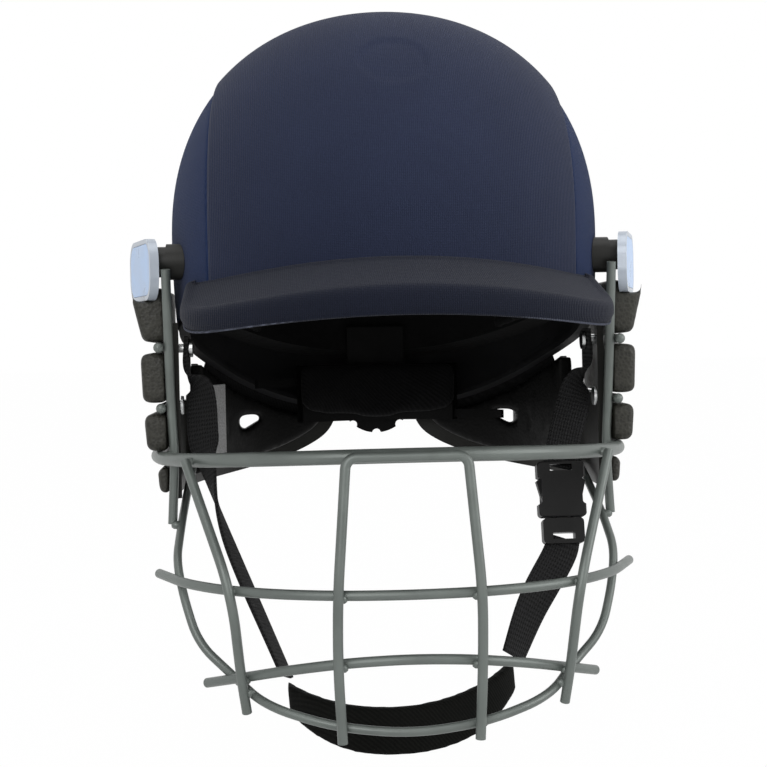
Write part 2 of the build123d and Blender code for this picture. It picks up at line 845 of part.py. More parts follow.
def make_side_wires():
    wires = []
    for index, level in enumerate(side_bar_node_levels):
        across = side_bar_across + cage_wire + weld_gap
        front = -side_bar_reach * side_bar_reach_shares[index + 1] - cage_wire / 2
        rear = bar_rear + cage_wire
        hook = across - side_wire_corner * 0.2
        points = [(across, front, level), (across, 0, level), (across, bar_rear - side_wire_corner, level),
                  (hook, rear, level)]
        path = FilletPolyline(points[0], *points[2:], radius=side_wire_corner)
        wire = sweep(Plane(path @ 0, z_dir=path % 0) * Circle(cage_wire / 2), path=path)
        wires += [wire, mirrored(wire)]
    return wires


# Adjuster
def ring_sector(inner, outer, low, high, start, end):
    """Part of an upright tube about the band centre; angles are from straight back."""
    centre = dial_front - 2 * band_wall - band_radius
    place = Location((0, centre, (low + high) / 2))
    tube = place * (Cylinder(outer, high - low) - Cylinder(inner, high - low + overrun))
    points = [(0, centre)]
    for step in range(5):
        angle = math.radians(start + (end - start) * step / 4)
        points.append((far_reach * math.sin(angle), centre + far_reach * math.cos(angle)))
    face = Face(Wire(Polyline(*[(across, along, low - overrun) for across, along in points], close=True)))
    return tube & extrude(face, amount=high - low + 2 * overrun, dir=(0, 0, 1))


def rack_tooth_angle():
    return 360 * pinion_pitch_radius / band_radius / pinion_teeth


def make_rack_band(upper):
    """A band whose inner end is a rack; the upper one lies above the pinion."""
    side = -1 if upper else 1
    lift = 1 if upper else -1
    pitch_level = dial_level + lift * (pinion_pitch_radius + mesh_gap)
    root = pitch_level + lift * tooth_height * 0.6
    low = min(root, root + lift * band_height)
    high = max(root, root + lift * band_height)
    start = -band_tail_angle * side
    end = band_reach_angle * side
    band = ring_sector(band_radius - band_wall, band_radius, low, high, min(start, end), max(start, end))
    step = rack_tooth_angle()
    count = math.floor(band_tail_angle / step)
    centre = dial_front - 2 * band_wall - band_radius
    for index in range(-count, count + 4):
        angle = side * (index + 0.5) * step
        if side * angle < -band_tail_angle + step / 2:
            continue
        tip = pitch_level - lift * tooth_height * 0.4
        outline = [(-tooth_root_width / 2, root + lift * layer_gap), (-tooth_tip_width / 2, tip),
                   (tooth_tip_width / 2, tip), (tooth_root_width / 2, root + lift * layer_gap)]
        tooth = prism_y(outline, band_radius - band_wall, band_radius)
        band += Pos(0, centre, 0) * Rot(0, 0, -angle) * tooth
    return band


def make_dial():
    knob = rod_y(dial_radius, dial_front, dial_front + dial_wall, 0, dial_level)
    for index in range(dial_lugs):
        angle = 2 * math.pi * (index + 0.5) / dial_lugs + math.pi / 2
        reach = dial_radius + dial_notch - dial_notch_depth
        knob -= rod_y(dial_notch, dial_front - overrun, dial_front + dial_wall + overrun,
                      reach * math.cos(angle), dial_level + reach * math.sin(angle))
    recess = rod_y(cap_screw_radius + 2 * seat_gap, dial_front + dial_wall - cap_screw_height,
                   dial_front + dial_wall + overrun, 0, dial_level)
    knob -= recess
    shaft_start = dial_front - 3 * band_wall
    knob += rod_y(shaft_radius, shaft_start, dial_front + layer_gap, 0, dial_level)
    root = pinion_pitch_radius - tooth_height * 0.6
    pinion_start = shaft_start
    pinion_end = dial_front - 2.1 * band_wall
    knob += rod_y(root, pinion_start, pinion_end, 0, dial_level)
    for index in range(pinion_teeth):
        angle = 360 * index / pinion_teeth
        tip = pinion_pitch_radius + tooth_height * 0.4
        outline = [(-tooth_root_width / 2, root - layer_gap), (-tooth_tip_width / 2, tip),
                   (tooth_tip_width / 2, tip), (tooth_root_width / 2, root - layer_gap)]
        tooth = prism_y(outline, pinion_start, pinion_end)
        knob += Pos(0, 0, dial_level) * Rot(0, angle, 0) * tooth
    bore = rod_y(screw_radius * 0.6, shaft_start - overrun, dial_front + dial_wall + overrun, 0, dial_level)
    return knob - bore


def make_dial_screw():
    start = dial_front - 4 * band_wall
    end = dial_front + dial_wall - cap_screw_height + seat_gap
    screw = rod_y(screw_radius * 0.5, start, end, 0, dial_level)
    return screw + rod_y(cap_screw_radius, end, end + cap_screw_height, 0, dial_level)


def make_cradle_plate():
    """Two curved walls with the racks between them, closed above and below."""
    floor = cradle_floor
    top = cradle_top
    half_angle = math.degrees(math.asin(cradle_half_width / band_radius))
    outer = band_radius + seat_gap + cradle_wall
    inner = band_radius - band_wall - seat_gap - cradle_wall
    body = ring_sector(inner, outer, floor, top, -half_angle, half_angle)
    channel_half = pinion_pitch_radius + mesh_gap + tooth_height * 0.6 + band_height + seat_gap
    channel_low = dial_level - channel_half
    channel_high = dial_level + channel_half
    channel = ring_sector(inner + cradle_wall, outer - cradle_wall, channel_low, channel_high,
                          -half_angle - band_tail_angle, half_angle + band_tail_angle)
    body -= channel
    body -= rod_y(shaft_radius + shaft_hole_gap, dial_front - 3 * band_wall, far_reach, 0, dial_level)
    body -= rod_y(screw_radius * 0.5 + layer_gap / 4, 0, far_reach, 0, dial_level)
    face = dial_front - 2 * band_wall + seat_gap + cradle_wall
    half = hanger_half_width
    body += block((-half, face - hanger_wall, top - 2 * hanger_wall), (half, face, hanger_top))
    foot = block((-half, face - hanger_wall, hanger_foot), (half, far_reach, hanger_top))
    return body + (foot & half_dome(comfort_inset, 1))


def make_cradle_pad():
    inner_wall = band_radius - band_wall - 2 * seat_gap - cradle_wall
    half_angle = math.degrees(math.asin(cradle_pad_half_width / band_radius))
    floor = cradle_pad_floor - cradle_pad_dip
    pad = ring_sector(inner_wall - cradle_pad_wall, inner_wall, floor, cradle_pad_top, -half_angle, half_angle)
    half = cradle_pad_half_width
    low = cradle_pad_floor
    outline = [(-half, 0, low + 3 * cradle_pad_dip), (-half * 0.8, 0, low + cradle_pad_dip),
               (-half * 0.45, 0, low + cradle_pad_dip * 0.55), (0, 0, low),
               (half * 0.45, 0, low + cradle_pad_dip * 0.55), (half * 0.8, 0, low + cradle_pad_dip),
               (half, 0, low + 3 * cradle_pad_dip)]
    edge = Spline(*outline)
    top = cradle_pad_top + overrun
    right = Line(outline[-1], (half, 0, top))
    upper = Line((half, 0, top), (-half, 0, top))
    left = Line((-half, 0, top), outline[0])
    face = Face(Wire([edge, right, upper, left]))
    pad &= extrude(face, amount=far_reach, dir=(0, 1, 0))
    return largest(pad)


# Chin strap
def webbing(stations):
    """Flat webbing through stations of a point and the turn of its width from across."""
    sections = []
    points = [Vector(*station[:3]) for station in stations]
    for index, station in enumerate(stations):
        before = points[max(index - 1, 0)]
        after = points[min(index + 1, len(points) - 1)]
        run = (after - before).normalized()
        turn = math.radians(station[3])
        width_dir = Vector(math.cos(turn), math.sin(turn), 0)
        width_dir = (width_dir - run * width_dir.dot(run)).normalized()
        plane = Plane(origin=points[index], x_dir=width_dir, z_dir=run)
        sections.append(plane * Rectangle(webbing_width, webbing_wall))
    return loft(sections, ruled=True)


def buckle_plane():
    lean = math.radians(buckle_lean)
    return Plane(origin=(buckle_across, buckle_place, buckle_level), x_dir=(1, 0, 0),
                 z_dir=(0, math.sin(lean), math.cos(lean)))


def on_buckle(across, depth, rise):
    point = buckle_plane().from_local_coords(Vector(across, depth, rise))
    return point.X, point.Y, point.Z


def make_buckle_strap():
    top = on_buckle(0, 0, buckle_half_length + strap_clearance)
    loop = pivot_pin_radius + webbing_wall * 2
    x = pivot_across
    y = pivot_place
    width = webbing_width
    stations = [(x, y, pivot_level + loop, 90), (x, y, pivot_level - 2 * loop, 90),
                (x - width * 0.3, y - width * 0.12, -width * 0.5, 40),
                (x - width * 0.55, y - width * 0.5, -width * 1.2, 0),
                (x - width * 0.9, y - width, -width * 2.1, 0), (*top, 0)]
    return webbing(stations) - strap_eye(1)


def strap_eye(side):
    radius = pivot_pin_radius + pivot_hole_gap
    return rod_x(radius, side * pivot_across - overrun, side * pivot_across + overrun, pivot_place, pivot_level)


def make_long_strap():
    loop = pivot_pin_radius + webbing_wall * 2
    cup = cup_end(-1)
    x = -pivot_across
    y = pivot_place
    width = webbing_width
    stations = [(x, y, pivot_level + loop, 90), (x, y, pivot_level - 2 * loop, 90),
                (x + width * 0.35, y - width * 0.1, -width * 0.55, 150),
                (x + width * 0.45, y - width * 0.5, -width * 1.9, 160),
                (x + width * 0.6, y - width * 0.8, -width * 2.8, 120),
                (x + width * 1.2, y - width * 1.5, -width * 5.0, 80),
                (cup[0] - width * 0.15, cup[1] + width * 0.15, cup[2] + width * 0.25, 80)]
    return webbing(stations) - strap_eye(-1)


def cup_end(side):
    """Top corner of an end of the chin cup."""
    across = side * cup_half_width * 0.96
    tilt = math.radians(cup_tilt)
    level = cup_level + cup_end_lift
    along = -cup_place + cup_sag * 0.93
    return (across * math.cos(tilt) - (level - cup_level) * math.sin(tilt), along,
            cup_level + across * math.sin(tilt) + (level - cup_level) * math.cos(tilt))


def make_lower_strap():
    top = on_buckle(0, 0, -buckle_half_length - strap_clearance)
    cup = cup_end(1)
    width = webbing_width
    stations = [(*top, 0),
                (top[0] - width * 0.2, top[1] - width * 0.2, top[2] - width * 0.5, 0),
                (top[0] - width * 1.1, top[1] - width * 0.9, top[2] - width * 1.8, 20),
                (cup[0] + width * 0.12, cup[1] + width * 0.15, cup[2] + width * 0.17, 40)]
    return webbing(stations)


def make_chin_cup():
    radius = (cup_half_width ** 2 + cup_sag ** 2) / (2 * cup_sag)
    centre = -cup_place + radius
    low = cup_level - 2 * cup_height
    high = cup_level + 2 * cup_height
    tube = Cylinder(radius, high - low) - Cylinder(radius - cup_wall, high - low + overrun)
    tube = Pos(0, centre, (low + high) / 2) * tube
    half = cup_half_width
    top_ends = cup_level + cup_end_lift
    low_ends = top_ends - cup_end_height
    high_side = cup_level + cup_end_lift * 0.24
    low_side = cup_level - cup_height * 0.80
    upper = Spline((-half, 0, top_ends), (-half * 0.5, 0, high_side), (0, 0, cup_level),
                   (half * 0.5, 0, high_side), (half, 0, top_ends))
    lower = Spline((-half, 0, low_ends), (-half * 0.6, 0, low_side), (0, 0, cup_level - cup_height),
                   (half * 0.6, 0, low_side), (half, 0, low_ends))
    right = Line((half, 0, top_ends), (half, 0, low_ends))
    left = Line((-half, 0, low_ends), (-half, 0, top_ends))
    face = Face(Wire([upper, right, lower, left]))
    face = face.moved(Location((0, -cup_place - overrun, 0)))
    cup = tube & extrude(face, amount=cup_sag + cup_wall + 2 * overrun, dir=(0, 1, 0))
    cup = largest(cup)
    return Pos(0, 0, cup_level) * Rot(0, -cup_tilt, 0) * Pos(0, 0, -cup_level) * cup


# Buckle pieces, in the buckle's own frame and then placed
def in_buckle(solid):
    return buckle_plane().location * solid


def make_socket():
    half = buckle_half_width
    body = block((-half, -buckle_wall / 2, buckle_mouth), (half, buckle_wall / 2, buckle_half_length))
    body = fillet(body.edges().filter_by(Axis.Y), buckle_wall / 4)
    body = fillet(body.edges().group_by(Axis.Y)[0] + body.edges().group_by(Axis.Y)[-1], layer_gap * 4)
    pocket = block((-pocket_half_width, -pocket_wall / 2, buckle_mouth - overrun),
                   (pocket_half_width, pocket_wall / 2, pocket_top))
    body -= pocket
    for side in (-1, 1):
        low = (half - waist_depth if side > 0 else -half - overrun, -buckle_wall, waist_floor)
        high = (half + overrun if side > 0 else -half + waist_depth, buckle_wall, waist_top)
        body -= fillet(block(low, high).edges().filter_by(Axis.Y), waist_depth)
    slot = block((-bar_slot_width / 2, -buckle_wall, bar_slot_level),
                 (bar_slot_width / 2, buckle_wall, bar_slot_level + bar_slot_height))
    return in_buckle(body - slot)


def make_plug():
    half = plug_half_width
    base_top = buckle_mouth - prong_gap
    base = block((-half, -buckle_wall / 2 + waist_depth / 2, -buckle_half_length),
                 (half, buckle_wall / 2 - waist_depth / 2, base_top))
    base = fillet(base.edges().filter_by(Axis.Y), buckle_wall / 4)
    slot = block((-bar_slot_width / 2, -buckle_wall, -buckle_half_length + bar_slot_height * 0.7),
                 (bar_slot_width / 2, buckle_wall, -buckle_half_length + bar_slot_height * 1.7))
    tongue = block((-plug_tongue_half_width, -prong_depth / 2, base_top - prong_gap),
                   (plug_tongue_half_width, prong_depth / 2, pocket_top - 2 * prong_gap))
    return in_buckle(base - slot + tongue)


def make_prong():
    foot = buckle_mouth - prong_gap + seat_gap
    outline = [(prong_spread, foot), (prong_spread + prong_wall, foot),
               (prong_floor_reach, prong_root + prong_wall), (pocket_half_width - 2 * prong_gap, 0),
               (prong_tip_reach, prong_top * 0.85), (prong_tip_reach - prong_wall, prong_top),
               (prong_spread + prong_wall * 0.6, prong_top), (prong_spread, prong_top * 0.6)]
    return prism_y(outline, -prong_depth / 2, prong_depth / 2)


def make_pins():
    start = pivot_across - webbing_wall / 2 - seat_gap - pivot_head_wall
    end = guard_inner_face(pivot_place) + guard_wall + seat_gap
    pin = rod_x(pivot_pin_radius - layer_gap / 4, start, end, pivot_place, pivot_level)
    head = rod_x(pivot_head_radius, start, start + pivot_head_wall, pivot_place, pivot_level)
    pin += head
    return [pin, mirrored(pin)]


def save(name, solid):
    shape = Compound(children=list(solid)) if isinstance(solid, list) else solid
    export_step(shape, f"parts/{name}.step")
    print("wrote", name)


def save_pair(name, solid):
    save(f"{name}_left", solid)
    save(f"{name}_right", mirrored(solid))


def build_all():
    save("shell", make_shell())
    save("front_panel", make_front_panel())
    save_pair("side_panel", make_side_panel())
    save("crown_disc", make_crown_disc())
    save("rim_trim", make_rim_trim())
    core, cover, lining = make_peak_parts()
    save("peak_core", core)
    save("peak_cover", cover)
    save("peak_lining", lining)
    save("impact_liner", make_impact_liner())
    save("brow_pad", make_brow_pad())
    save_pair("temple_pad", make_temple_pad())
    save("crown_pad", make_crown_pad())
    save_pair("ear_guard", make_ear_guard())
    save_pair("neck_pad", make_neck_pad())
    save("care_label", make_label())
    save_pair("upper_pad", make_side_pad(upper_pad))
    save_pair("middle_pad", make_side_pad(middle_pad))
    save_pair("lower_pad", make_side_pad(lower_pad))
    save_pair("tail_pad", make_side_pad(tail_pad, tail_pad_front))
    save_pair("side_plate", make_plate())
    save_pair("plate_face", make_plate_face())
    save_pair("spacer", make_spacer())
    save("guard_screws", make_screws())
    save("tee_nuts", make_nuts())
    save("top_bar", make_top_bar())
    save("centre_bars", make_centre_bars())
    save_pair("outer_bar", make_outer_bar())
    save("second_bar", make_second_bar())
    save("third_bar", make_third_bar())
    save("perimeter_wire", make_perimeter_wire())
    save_pair("side_bar", make_side_bar())
    save("side_wires", make_side_wires())
    save("dial", make_dial())
    save("dial_screw", make_dial_screw())
    save("rack_band_left", make_rack_band(False))
    save("rack_band_right", make_rack_band(True))
    save("cradle_plate", make_cradle_plate())
    save("cradle_pad", make_cradle_pad())
    save("buckle_strap", make_buckle_strap())
    save("long_strap", make_long_strap())
    save("lower_strap", make_lower_strap())
    save("chin_cup", make_chin_cup())
    save("buckle_socket", make_socket())
    save("buckle_plug", make_plug())
    prong = make_prong()
    save("prong_left", in_buckle(prong))
    save("prong_right", in_buckle(mirrored(prong)))
    save("strap_pins", make_pins())


build_all()
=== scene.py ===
import bpy
import math
import numpy as np
from mathutils import Matrix, Vector, kdtree


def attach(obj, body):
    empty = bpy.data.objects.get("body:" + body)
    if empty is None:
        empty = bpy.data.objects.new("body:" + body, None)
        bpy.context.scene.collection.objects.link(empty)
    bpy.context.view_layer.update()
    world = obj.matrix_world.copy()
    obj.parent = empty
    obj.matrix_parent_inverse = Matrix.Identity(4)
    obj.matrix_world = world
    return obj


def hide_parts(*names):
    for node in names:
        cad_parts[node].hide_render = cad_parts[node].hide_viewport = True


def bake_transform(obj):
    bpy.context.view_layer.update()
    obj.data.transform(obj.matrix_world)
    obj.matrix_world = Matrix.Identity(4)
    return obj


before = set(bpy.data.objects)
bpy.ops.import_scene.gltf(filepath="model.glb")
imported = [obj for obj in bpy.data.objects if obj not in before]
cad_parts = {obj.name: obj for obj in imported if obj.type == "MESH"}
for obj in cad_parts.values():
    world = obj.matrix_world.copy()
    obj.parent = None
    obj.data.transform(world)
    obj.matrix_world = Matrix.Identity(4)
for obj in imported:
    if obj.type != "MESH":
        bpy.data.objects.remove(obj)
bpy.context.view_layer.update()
scene = bpy.context.scene
mm = 0.001

# The dome that the cover and the peak follow, in millimetres as in the part's source
dome = {"half": 107.5, "rise": 110.0, "fall": 200.0, "level": 65.0, "power": 2.2, "stretch": 127 / 107.5,
        "middle": 1.0, "ridgeFront": 87.0, "ridgeRear": 74.0, "ridgeSpare": 10.0, "rimFront": 38.0,
        "rimRear": -27.0, "rimGap": 0.3, "front": 126.0, "rear": 128.0,
        "rimPlaceShares": [-1.08, -0.80, -0.48, 0.0, 0.39, 0.70, 0.97, 1.08],
        "rimLevelShares": [1.02, 0.97, 0.908, 0.723, 0.508, 0.231, 0.0, -0.06]}
insideDome = Vector((0, 0, 0.06))


# Node helpers
def newMaterial(name):
    mat = bpy.data.materials.new(name)
    mat.use_nodes = True
    tree = mat.node_tree
    shader = tree.nodes["Principled BSDF"]
    return mat, tree, shader


def addNode(tree, kind, **values):
    node = tree.nodes.new(kind)
    for key, value in values.items():
        if key in node.inputs.keys():
            node.inputs[key].default_value = value
        else:
            setattr(node, key, value)
    return node


def placeNode(tree):
    return addNode(tree, "ShaderNodeTexCoord").outputs["Object"]


def textureNode(tree, where, kind, **values):
    node = addNode(tree, kind, **values)
    tree.links.new(where, node.inputs["Vector"])
    return node


def bandsNode(tree, where, direction, pitch, distortion, **values):
    return textureNode(tree, where, "ShaderNodeTexWave", bands_direction=direction,
                       Scale=2 * math.pi / (20 * pitch), Distortion=distortion, **values)


def noiseNode(tree, where, scale, detail, distortion=0.0):
    return textureNode(tree, where, "ShaderNodeTexNoise", Scale=scale, Detail=detail, Distortion=distortion)


def rampNode(tree, source, stops):
    ramp = addNode(tree, "ShaderNodeValToRGB")
    elements = ramp.color_ramp.elements
    while len(elements) < len(stops):
        elements.new(0.5)
    for element, (place, colour) in zip(elements, stops):
        element.position = place
        element.color = (*colour, 1)
    tree.links.new(source, ramp.inputs["Fac"])
    return ramp.outputs["Color"]


def mathNode(tree, operation, first, second):
    node = addNode(tree, "ShaderNodeMath", operation=operation)
    for index, value in enumerate((first, second)):
        if isinstance(value, (int, float)):
            node.inputs[index].default_value = value
        else:
            tree.links.new(value, node.inputs[index])
    return node.outputs[0]


def weighted(tree, first, second, share):
    return mathNode(tree, "ADD", first, mathNode(tree, "MULTIPLY", second, share))


def bumpFrom(tree, shader, height, distance):
    bump = addNode(tree, "ShaderNodeBump", Strength=1.0, Distance=distance)
    tree.links.new(height, bump.inputs["Height"])
    tree.links.new(bump.outputs["Normal"], shader.inputs["Normal"])


def setInputs(shader, **values):
    for key, value in values.items():
        shader.inputs[inputNames[key]].default_value = value


def shade(colour, by):
    return tuple(min(1.0, channel * by) for channel in colour)


# Materials, with pitches and depths in metres
inputNames = {"rough": "Roughness", "sheen": "Sheen Weight", "sheenRough": "Sheen Roughness",
              "shine": "Specular IOR Level", "metal": "Metallic"}
# The peak's share darkens the navy knit for the peak's cover: this is painted shade for the shade on the
# peak's top
knit = {"navy": (0.0168, 0.0222, 0.0470), "blue": (0.0100, 0.0205, 0.0630), "pitch": 0.00085,
        "depth": 0.00016, "paintedPeakShade": 0.34, "fuzz": 900.0, "patches": 28.0, "stitchShare": 0.45,
        "fuzzShare": 0.9, "weaveShare": 0.42, "patchShare": 0.35, "dark": 0.68, "bright": 1.45}
cloth = {"fuzz": 1100.0, "weaveShare": 0.6, "dark": 0.6, "bright": 1.7}
leather = {"cells": 620.0, "creases": 170.0, "creaseShare": 0.8, "dark": 0.55, "bright": 1.5,
           "smooth": 0.42, "rough": 0.60}
paint = {"wear": 45.0, "dark": 0.86, "bright": 1.15}
weave = {"pickPitch": 0.0021, "ribPitch": 0.0013, "fuzz": 1300.0, "ribShare": 0.7, "fuzzShare": 0.5,
         "dark": 0.5, "bright": 1.7, "depth": 0.0004}


def greyOf(value):
    return (value,) * 3


def colourFrom(tree, shader, source, stops):
    tree.links.new(rampNode(tree, source, stops), shader.inputs["Base Color"])


def knitMaterial(name, colour, direction):
    mat, tree, shader = newMaterial(name)
    where = placeNode(tree)
    ribs = bandsNode(tree, where, direction, knit["pitch"], 1.6, Detail=2.0)
    ribs.inputs["Detail Scale"].default_value = 2.5
    stitches = bandsNode(tree, where, "Z", knit["pitch"] * 0.8, 2.2, Detail=1.0)
    fuzz = noiseNode(tree, where, knit["fuzz"], 4.0)
    patches = noiseNode(tree, where, knit["patches"], 5.0)
    height = weighted(tree, ribs.outputs["Fac"], stitches.outputs["Fac"], knit["stitchShare"])
    height = weighted(tree, height, fuzz.outputs["Fac"], knit["fuzzShare"])
    tone = weighted(tree, mathNode(tree, "MULTIPLY", height, knit["weaveShare"]), patches.outputs["Fac"],
                    knit["patchShare"])
    colourFrom(tree, shader, tone, [(0.15, shade(colour, knit["dark"])), (0.60, colour),
                                    (1.0, shade(colour, knit["bright"]))])
    setInputs(shader, rough=0.88, sheen=0.06, sheenRough=0.4, shine=0.16)
    bumpFrom(tree, shader, height, knit["depth"])
    return mat


def clothMaterial(name, colour, pitch, depth):
    mat, tree, shader = newMaterial(name)
    where = placeNode(tree)
    across = bandsNode(tree, where, "DIAGONAL", pitch, 1.2)
    fuzz = noiseNode(tree, where, cloth["fuzz"], 3.0)
    height = weighted(tree, fuzz.outputs["Fac"], across.outputs["Fac"], cloth["weaveShare"])
    colourFrom(tree, shader, height, [(0.3, shade(colour, cloth["dark"])), (0.8, colour),
                                      (1.0, shade(colour, cloth["bright"]))])
    setInputs(shader, rough=0.9, sheen=0.03, shine=0.10)
    bumpFrom(tree, shader, height, depth)
    return mat


def leatherMaterial(name, colour, depth, shine):
    mat, tree, shader = newMaterial(name)
    where = placeNode(tree)
    cells = textureNode(tree, where, "ShaderNodeTexVoronoi", Scale=leather["cells"])
    creases = noiseNode(tree, where, leather["creases"], 6.0, 0.8)
    grain = weighted(tree, cells.outputs["Distance"], creases.outputs["Fac"], leather["creaseShare"])
    colourFrom(tree, shader, grain, [(0.25, shade(colour, leather["dark"])), (0.7, colour),
                                     (1.0, shade(colour, leather["bright"]))])
    rough = rampNode(tree, creases.outputs["Fac"], [(0.3, greyOf(leather["smooth"])),
                                                    (0.7, greyOf(leather["rough"]))])
    tree.links.new(rough, shader.inputs["Roughness"])
    setInputs(shader, shine=shine)
    bumpFrom(tree, shader, grain, depth)
    return mat


def paintMaterial(name, colour, metal, lowRough, highRough, grainScale=420.0, grainDepth=0.00006, shine=0.22):
    mat, tree, shader = newMaterial(name)
    where = placeNode(tree)
    grain = noiseNode(tree, where, grainScale, 4.0)
    wear = noiseNode(tree, where, paint["wear"], 7.0, 0.6)
    colourFrom(tree, shader, wear.outputs["Fac"], [(0.3, shade(colour, paint["dark"])), (0.55, colour),
                                                   (0.85, shade(colour, paint["bright"]))])
    rough = rampNode(tree, wear.outputs["Fac"], [(0.3, greyOf(lowRough)), (0.7, greyOf(highRough))])
    tree.links.new(rough, shader.inputs["Roughness"])
    setInputs(shader, metal=metal, shine=shine)
    bumpFrom(tree, shader, grain.outputs["Fac"], grainDepth)
    return mat


def webbingMaterial(name, colour):
    mat, tree, shader = newMaterial(name)
    coords = addNode(tree, "ShaderNodeTexCoord")
    along = bandsNode(tree, coords.outputs["UV"], "X", weave["pickPitch"], 0.0)
    across = bandsNode(tree, coords.outputs["UV"], "Y", weave["ribPitch"], 0.3)
    fuzz = noiseNode(tree, coords.outputs["Object"], weave["fuzz"], 3.0)
    height = weighted(tree, along.outputs["Fac"], across.outputs["Fac"], weave["ribShare"])
    height = weighted(tree, height, fuzz.outputs["Fac"], weave["fuzzShare"])
    colourFrom(tree, shader, height, [(0.4, shade(colour, weave["dark"])),
                                      (1.0, shade(colour, weave["bright"]))])
    setInputs(shader, rough=0.74, sheen=0.03, shine=0.14)
    bumpFrom(tree, shader, height, weave["depth"])
    return mat


finish = {
    "navyKnit": knitMaterial("navyKnit", knit["navy"], "X"),
    # A darker copy of the navy knit for the peak's cover: painted shade on the peak's top
    "peakKnitPaintedShade": knitMaterial("peakKnitPaintedShade", shade(knit["navy"], knit["paintedPeakShade"]), "X"),
    "blueKnit": knitMaterial("blueKnit", knit["blue"], "Y"),
    "seamThread": clothMaterial("seamThread", (0.05, 0.055, 0.075), 0.0009, 0.0001),
    "blackLining": clothMaterial("blackLining", (0.0030, 0.0030, 0.0032), 0.0012, 0.0002),
    "cupCloth": clothMaterial("cupCloth", (0.0036, 0.0038, 0.0032), 0.0011, 0.00012),
    "labelCloth": clothMaterial("labelCloth", (0.34, 0.34, 0.34), 0.0008, 0.0001),
    "padLeather": leatherMaterial("padLeather", (0.021, 0.0205, 0.0165), 0.00028, 0.28),
    "neckLeather": leatherMaterial("neckLeather", (0.0024, 0.0024, 0.0023), 0.00008, 0.13),
    "shellPlastic": paintMaterial("shellPlastic", (0.012, 0.012, 0.013), 0.0, 0.45, 0.6),
    "bindingRubber": paintMaterial("bindingRubber", (0.010, 0.010, 0.011), 0.0, 0.6, 0.75, 700.0, 0.0001),
    "linerFoam": paintMaterial("linerFoam", (0.0035, 0.0035, 0.0037), 0.0, 0.75, 0.9, 300.0, 0.0004),
    "guardPlastic": paintMaterial("guardPlastic", (0.0125, 0.0125, 0.0105), 0.0, 0.38, 0.52, 900.0, 0.00012),
    "plateRim": paintMaterial("plateRim", (0.48, 0.53, 0.60), 0.1, 0.26, 0.38, shine=0.5),
    "plateBlue": paintMaterial("plateBlue", (0.42, 0.60, 0.90), 0.0, 0.26, 0.38, shine=0.5),
    "spacerPlastic": paintMaterial("spacerPlastic", (0.0125, 0.0125, 0.011), 0.0, 0.38, 0.5, 500.0, 0.0001),
    "brightSteel": paintMaterial("brightSteel", (0.55, 0.56, 0.56), 1.0, 0.22, 0.35, shine=0.5),
    "wirePaint": paintMaterial("wirePaint", (0.135, 0.153, 0.142), 0.25, 0.32, 0.46, 650.0, 0.00005, 0.5),
    "adjusterPlastic": paintMaterial("adjusterPlastic", (0.003, 0.003, 0.003), 0.0, 0.5, 0.65, 600.0, 0.00008,
                                     0.1),
    "bucklePlastic": paintMaterial("bucklePlastic", (0.0040, 0.0040, 0.0040), 0.0, 0.36, 0.5, 800.0, 0.00006),
    "webbing": webbingMaterial("webbing", (0.0095, 0.0095, 0.0098)),
}
print("materials made:", len(finish))

carried = {
    "shellPlastic": ["shell", "peak_core"],
    "bindingRubber": ["rim_trim"],
    "linerFoam": ["impact_liner"],
    "guardPlastic": ["ear_guard_left", "ear_guard_right"],
    "plateRim": ["side_plate_left", "side_plate_right"],
    "plateBlue": ["plate_face_left", "plate_face_right"],
    "spacerPlastic": ["spacer_left", "spacer_right"],
    "brightSteel": ["guard_screws", "tee_nuts", "strap_pins", "dial_screw"],
    "wirePaint": ["top_bar", "centre_bars", "outer_bar_left", "outer_bar_right", "second_bar", "third_bar",
                  "perimeter_wire", "side_bar_left", "side_bar_right", "side_wires"],
    "adjusterPlastic": ["dial", "cradle_plate", "rack_band_left", "rack_band_right"],
    "bucklePlastic": ["buckle_socket", "buckle_plug", "prong_left", "prong_right"],
}


def nodeObject(node):
    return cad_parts[node]


for finishName, nodes in carried.items():
    for node in nodes:
        mesh = nodeObject(node).data
        mesh.materials.clear()
        mesh.materials.append(finish[finishName])
print("carried nodes finished")


# Mesh helpers
def makePiece(name, points, faces, finishName, body, node=None, uvs=None):
    mesh = bpy.data.meshes.new(name)
    mesh.from_pydata([tuple(point) for point in points], [], faces)
    mesh.validate()
    mesh.update()
    if uvs is not None:
        layer = mesh.uv_layers.new(name="UVMap")
        for loop in mesh.loops:
            layer.data[loop.index].uv = uvs[loop.vertex_index]
    mesh.materials.append(finish[finishName])
    piece = bpy.data.objects.new(name, mesh)
    scene.collection.objects.link(piece)
    mesh.polygons.foreach_set("use_smooth", [True] * len(mesh.polygons))
    if body is not None:
        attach(piece, body)
    if node is not None:
        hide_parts(*([node] if isinstance(node, str) else node))
    return piece


def gridFaces(rows, columns, closed=False):
    faces = []
    last = columns if closed else columns - 1
    for row in range(rows - 1):
        for column in range(last):
            after = (column + 1) % columns
            faces.append((row * columns + column, row * columns + after,
                          (row + 1) * columns + after, (row + 1) * columns + column))
    return faces


def applyModifiers(piece):
    depsgraph = bpy.context.evaluated_depsgraph_get()
    made = bpy.data.meshes.new_from_object(piece.evaluated_get(depsgraph))
    old = piece.data
    piece.modifiers.clear()
    piece.data = made
    bpy.data.meshes.remove(old)
    made.polygons.foreach_set("use_smooth", [True] * len(made.polygons))


def thicken(piece, wall, offset):
    solid = piece.modifiers.new("thickness", "SOLIDIFY")
    solid.thickness = wall * mm
    solid.offset = offset
    applyModifiers(piece)


def spherePlaces(rings, turns):
    return [(math.pi * ring / (rings - 1), 2 * math.pi * turn / turns)
            for ring in range(rings) for turn in range(turns)]


def turnOutward(piece, centre):
    mesh = piece.data
    total = sum((Vector(face.center) - centre).dot(face.normal) for face in mesh.polygons)
    if total < 0:
        mesh.flip_normals()


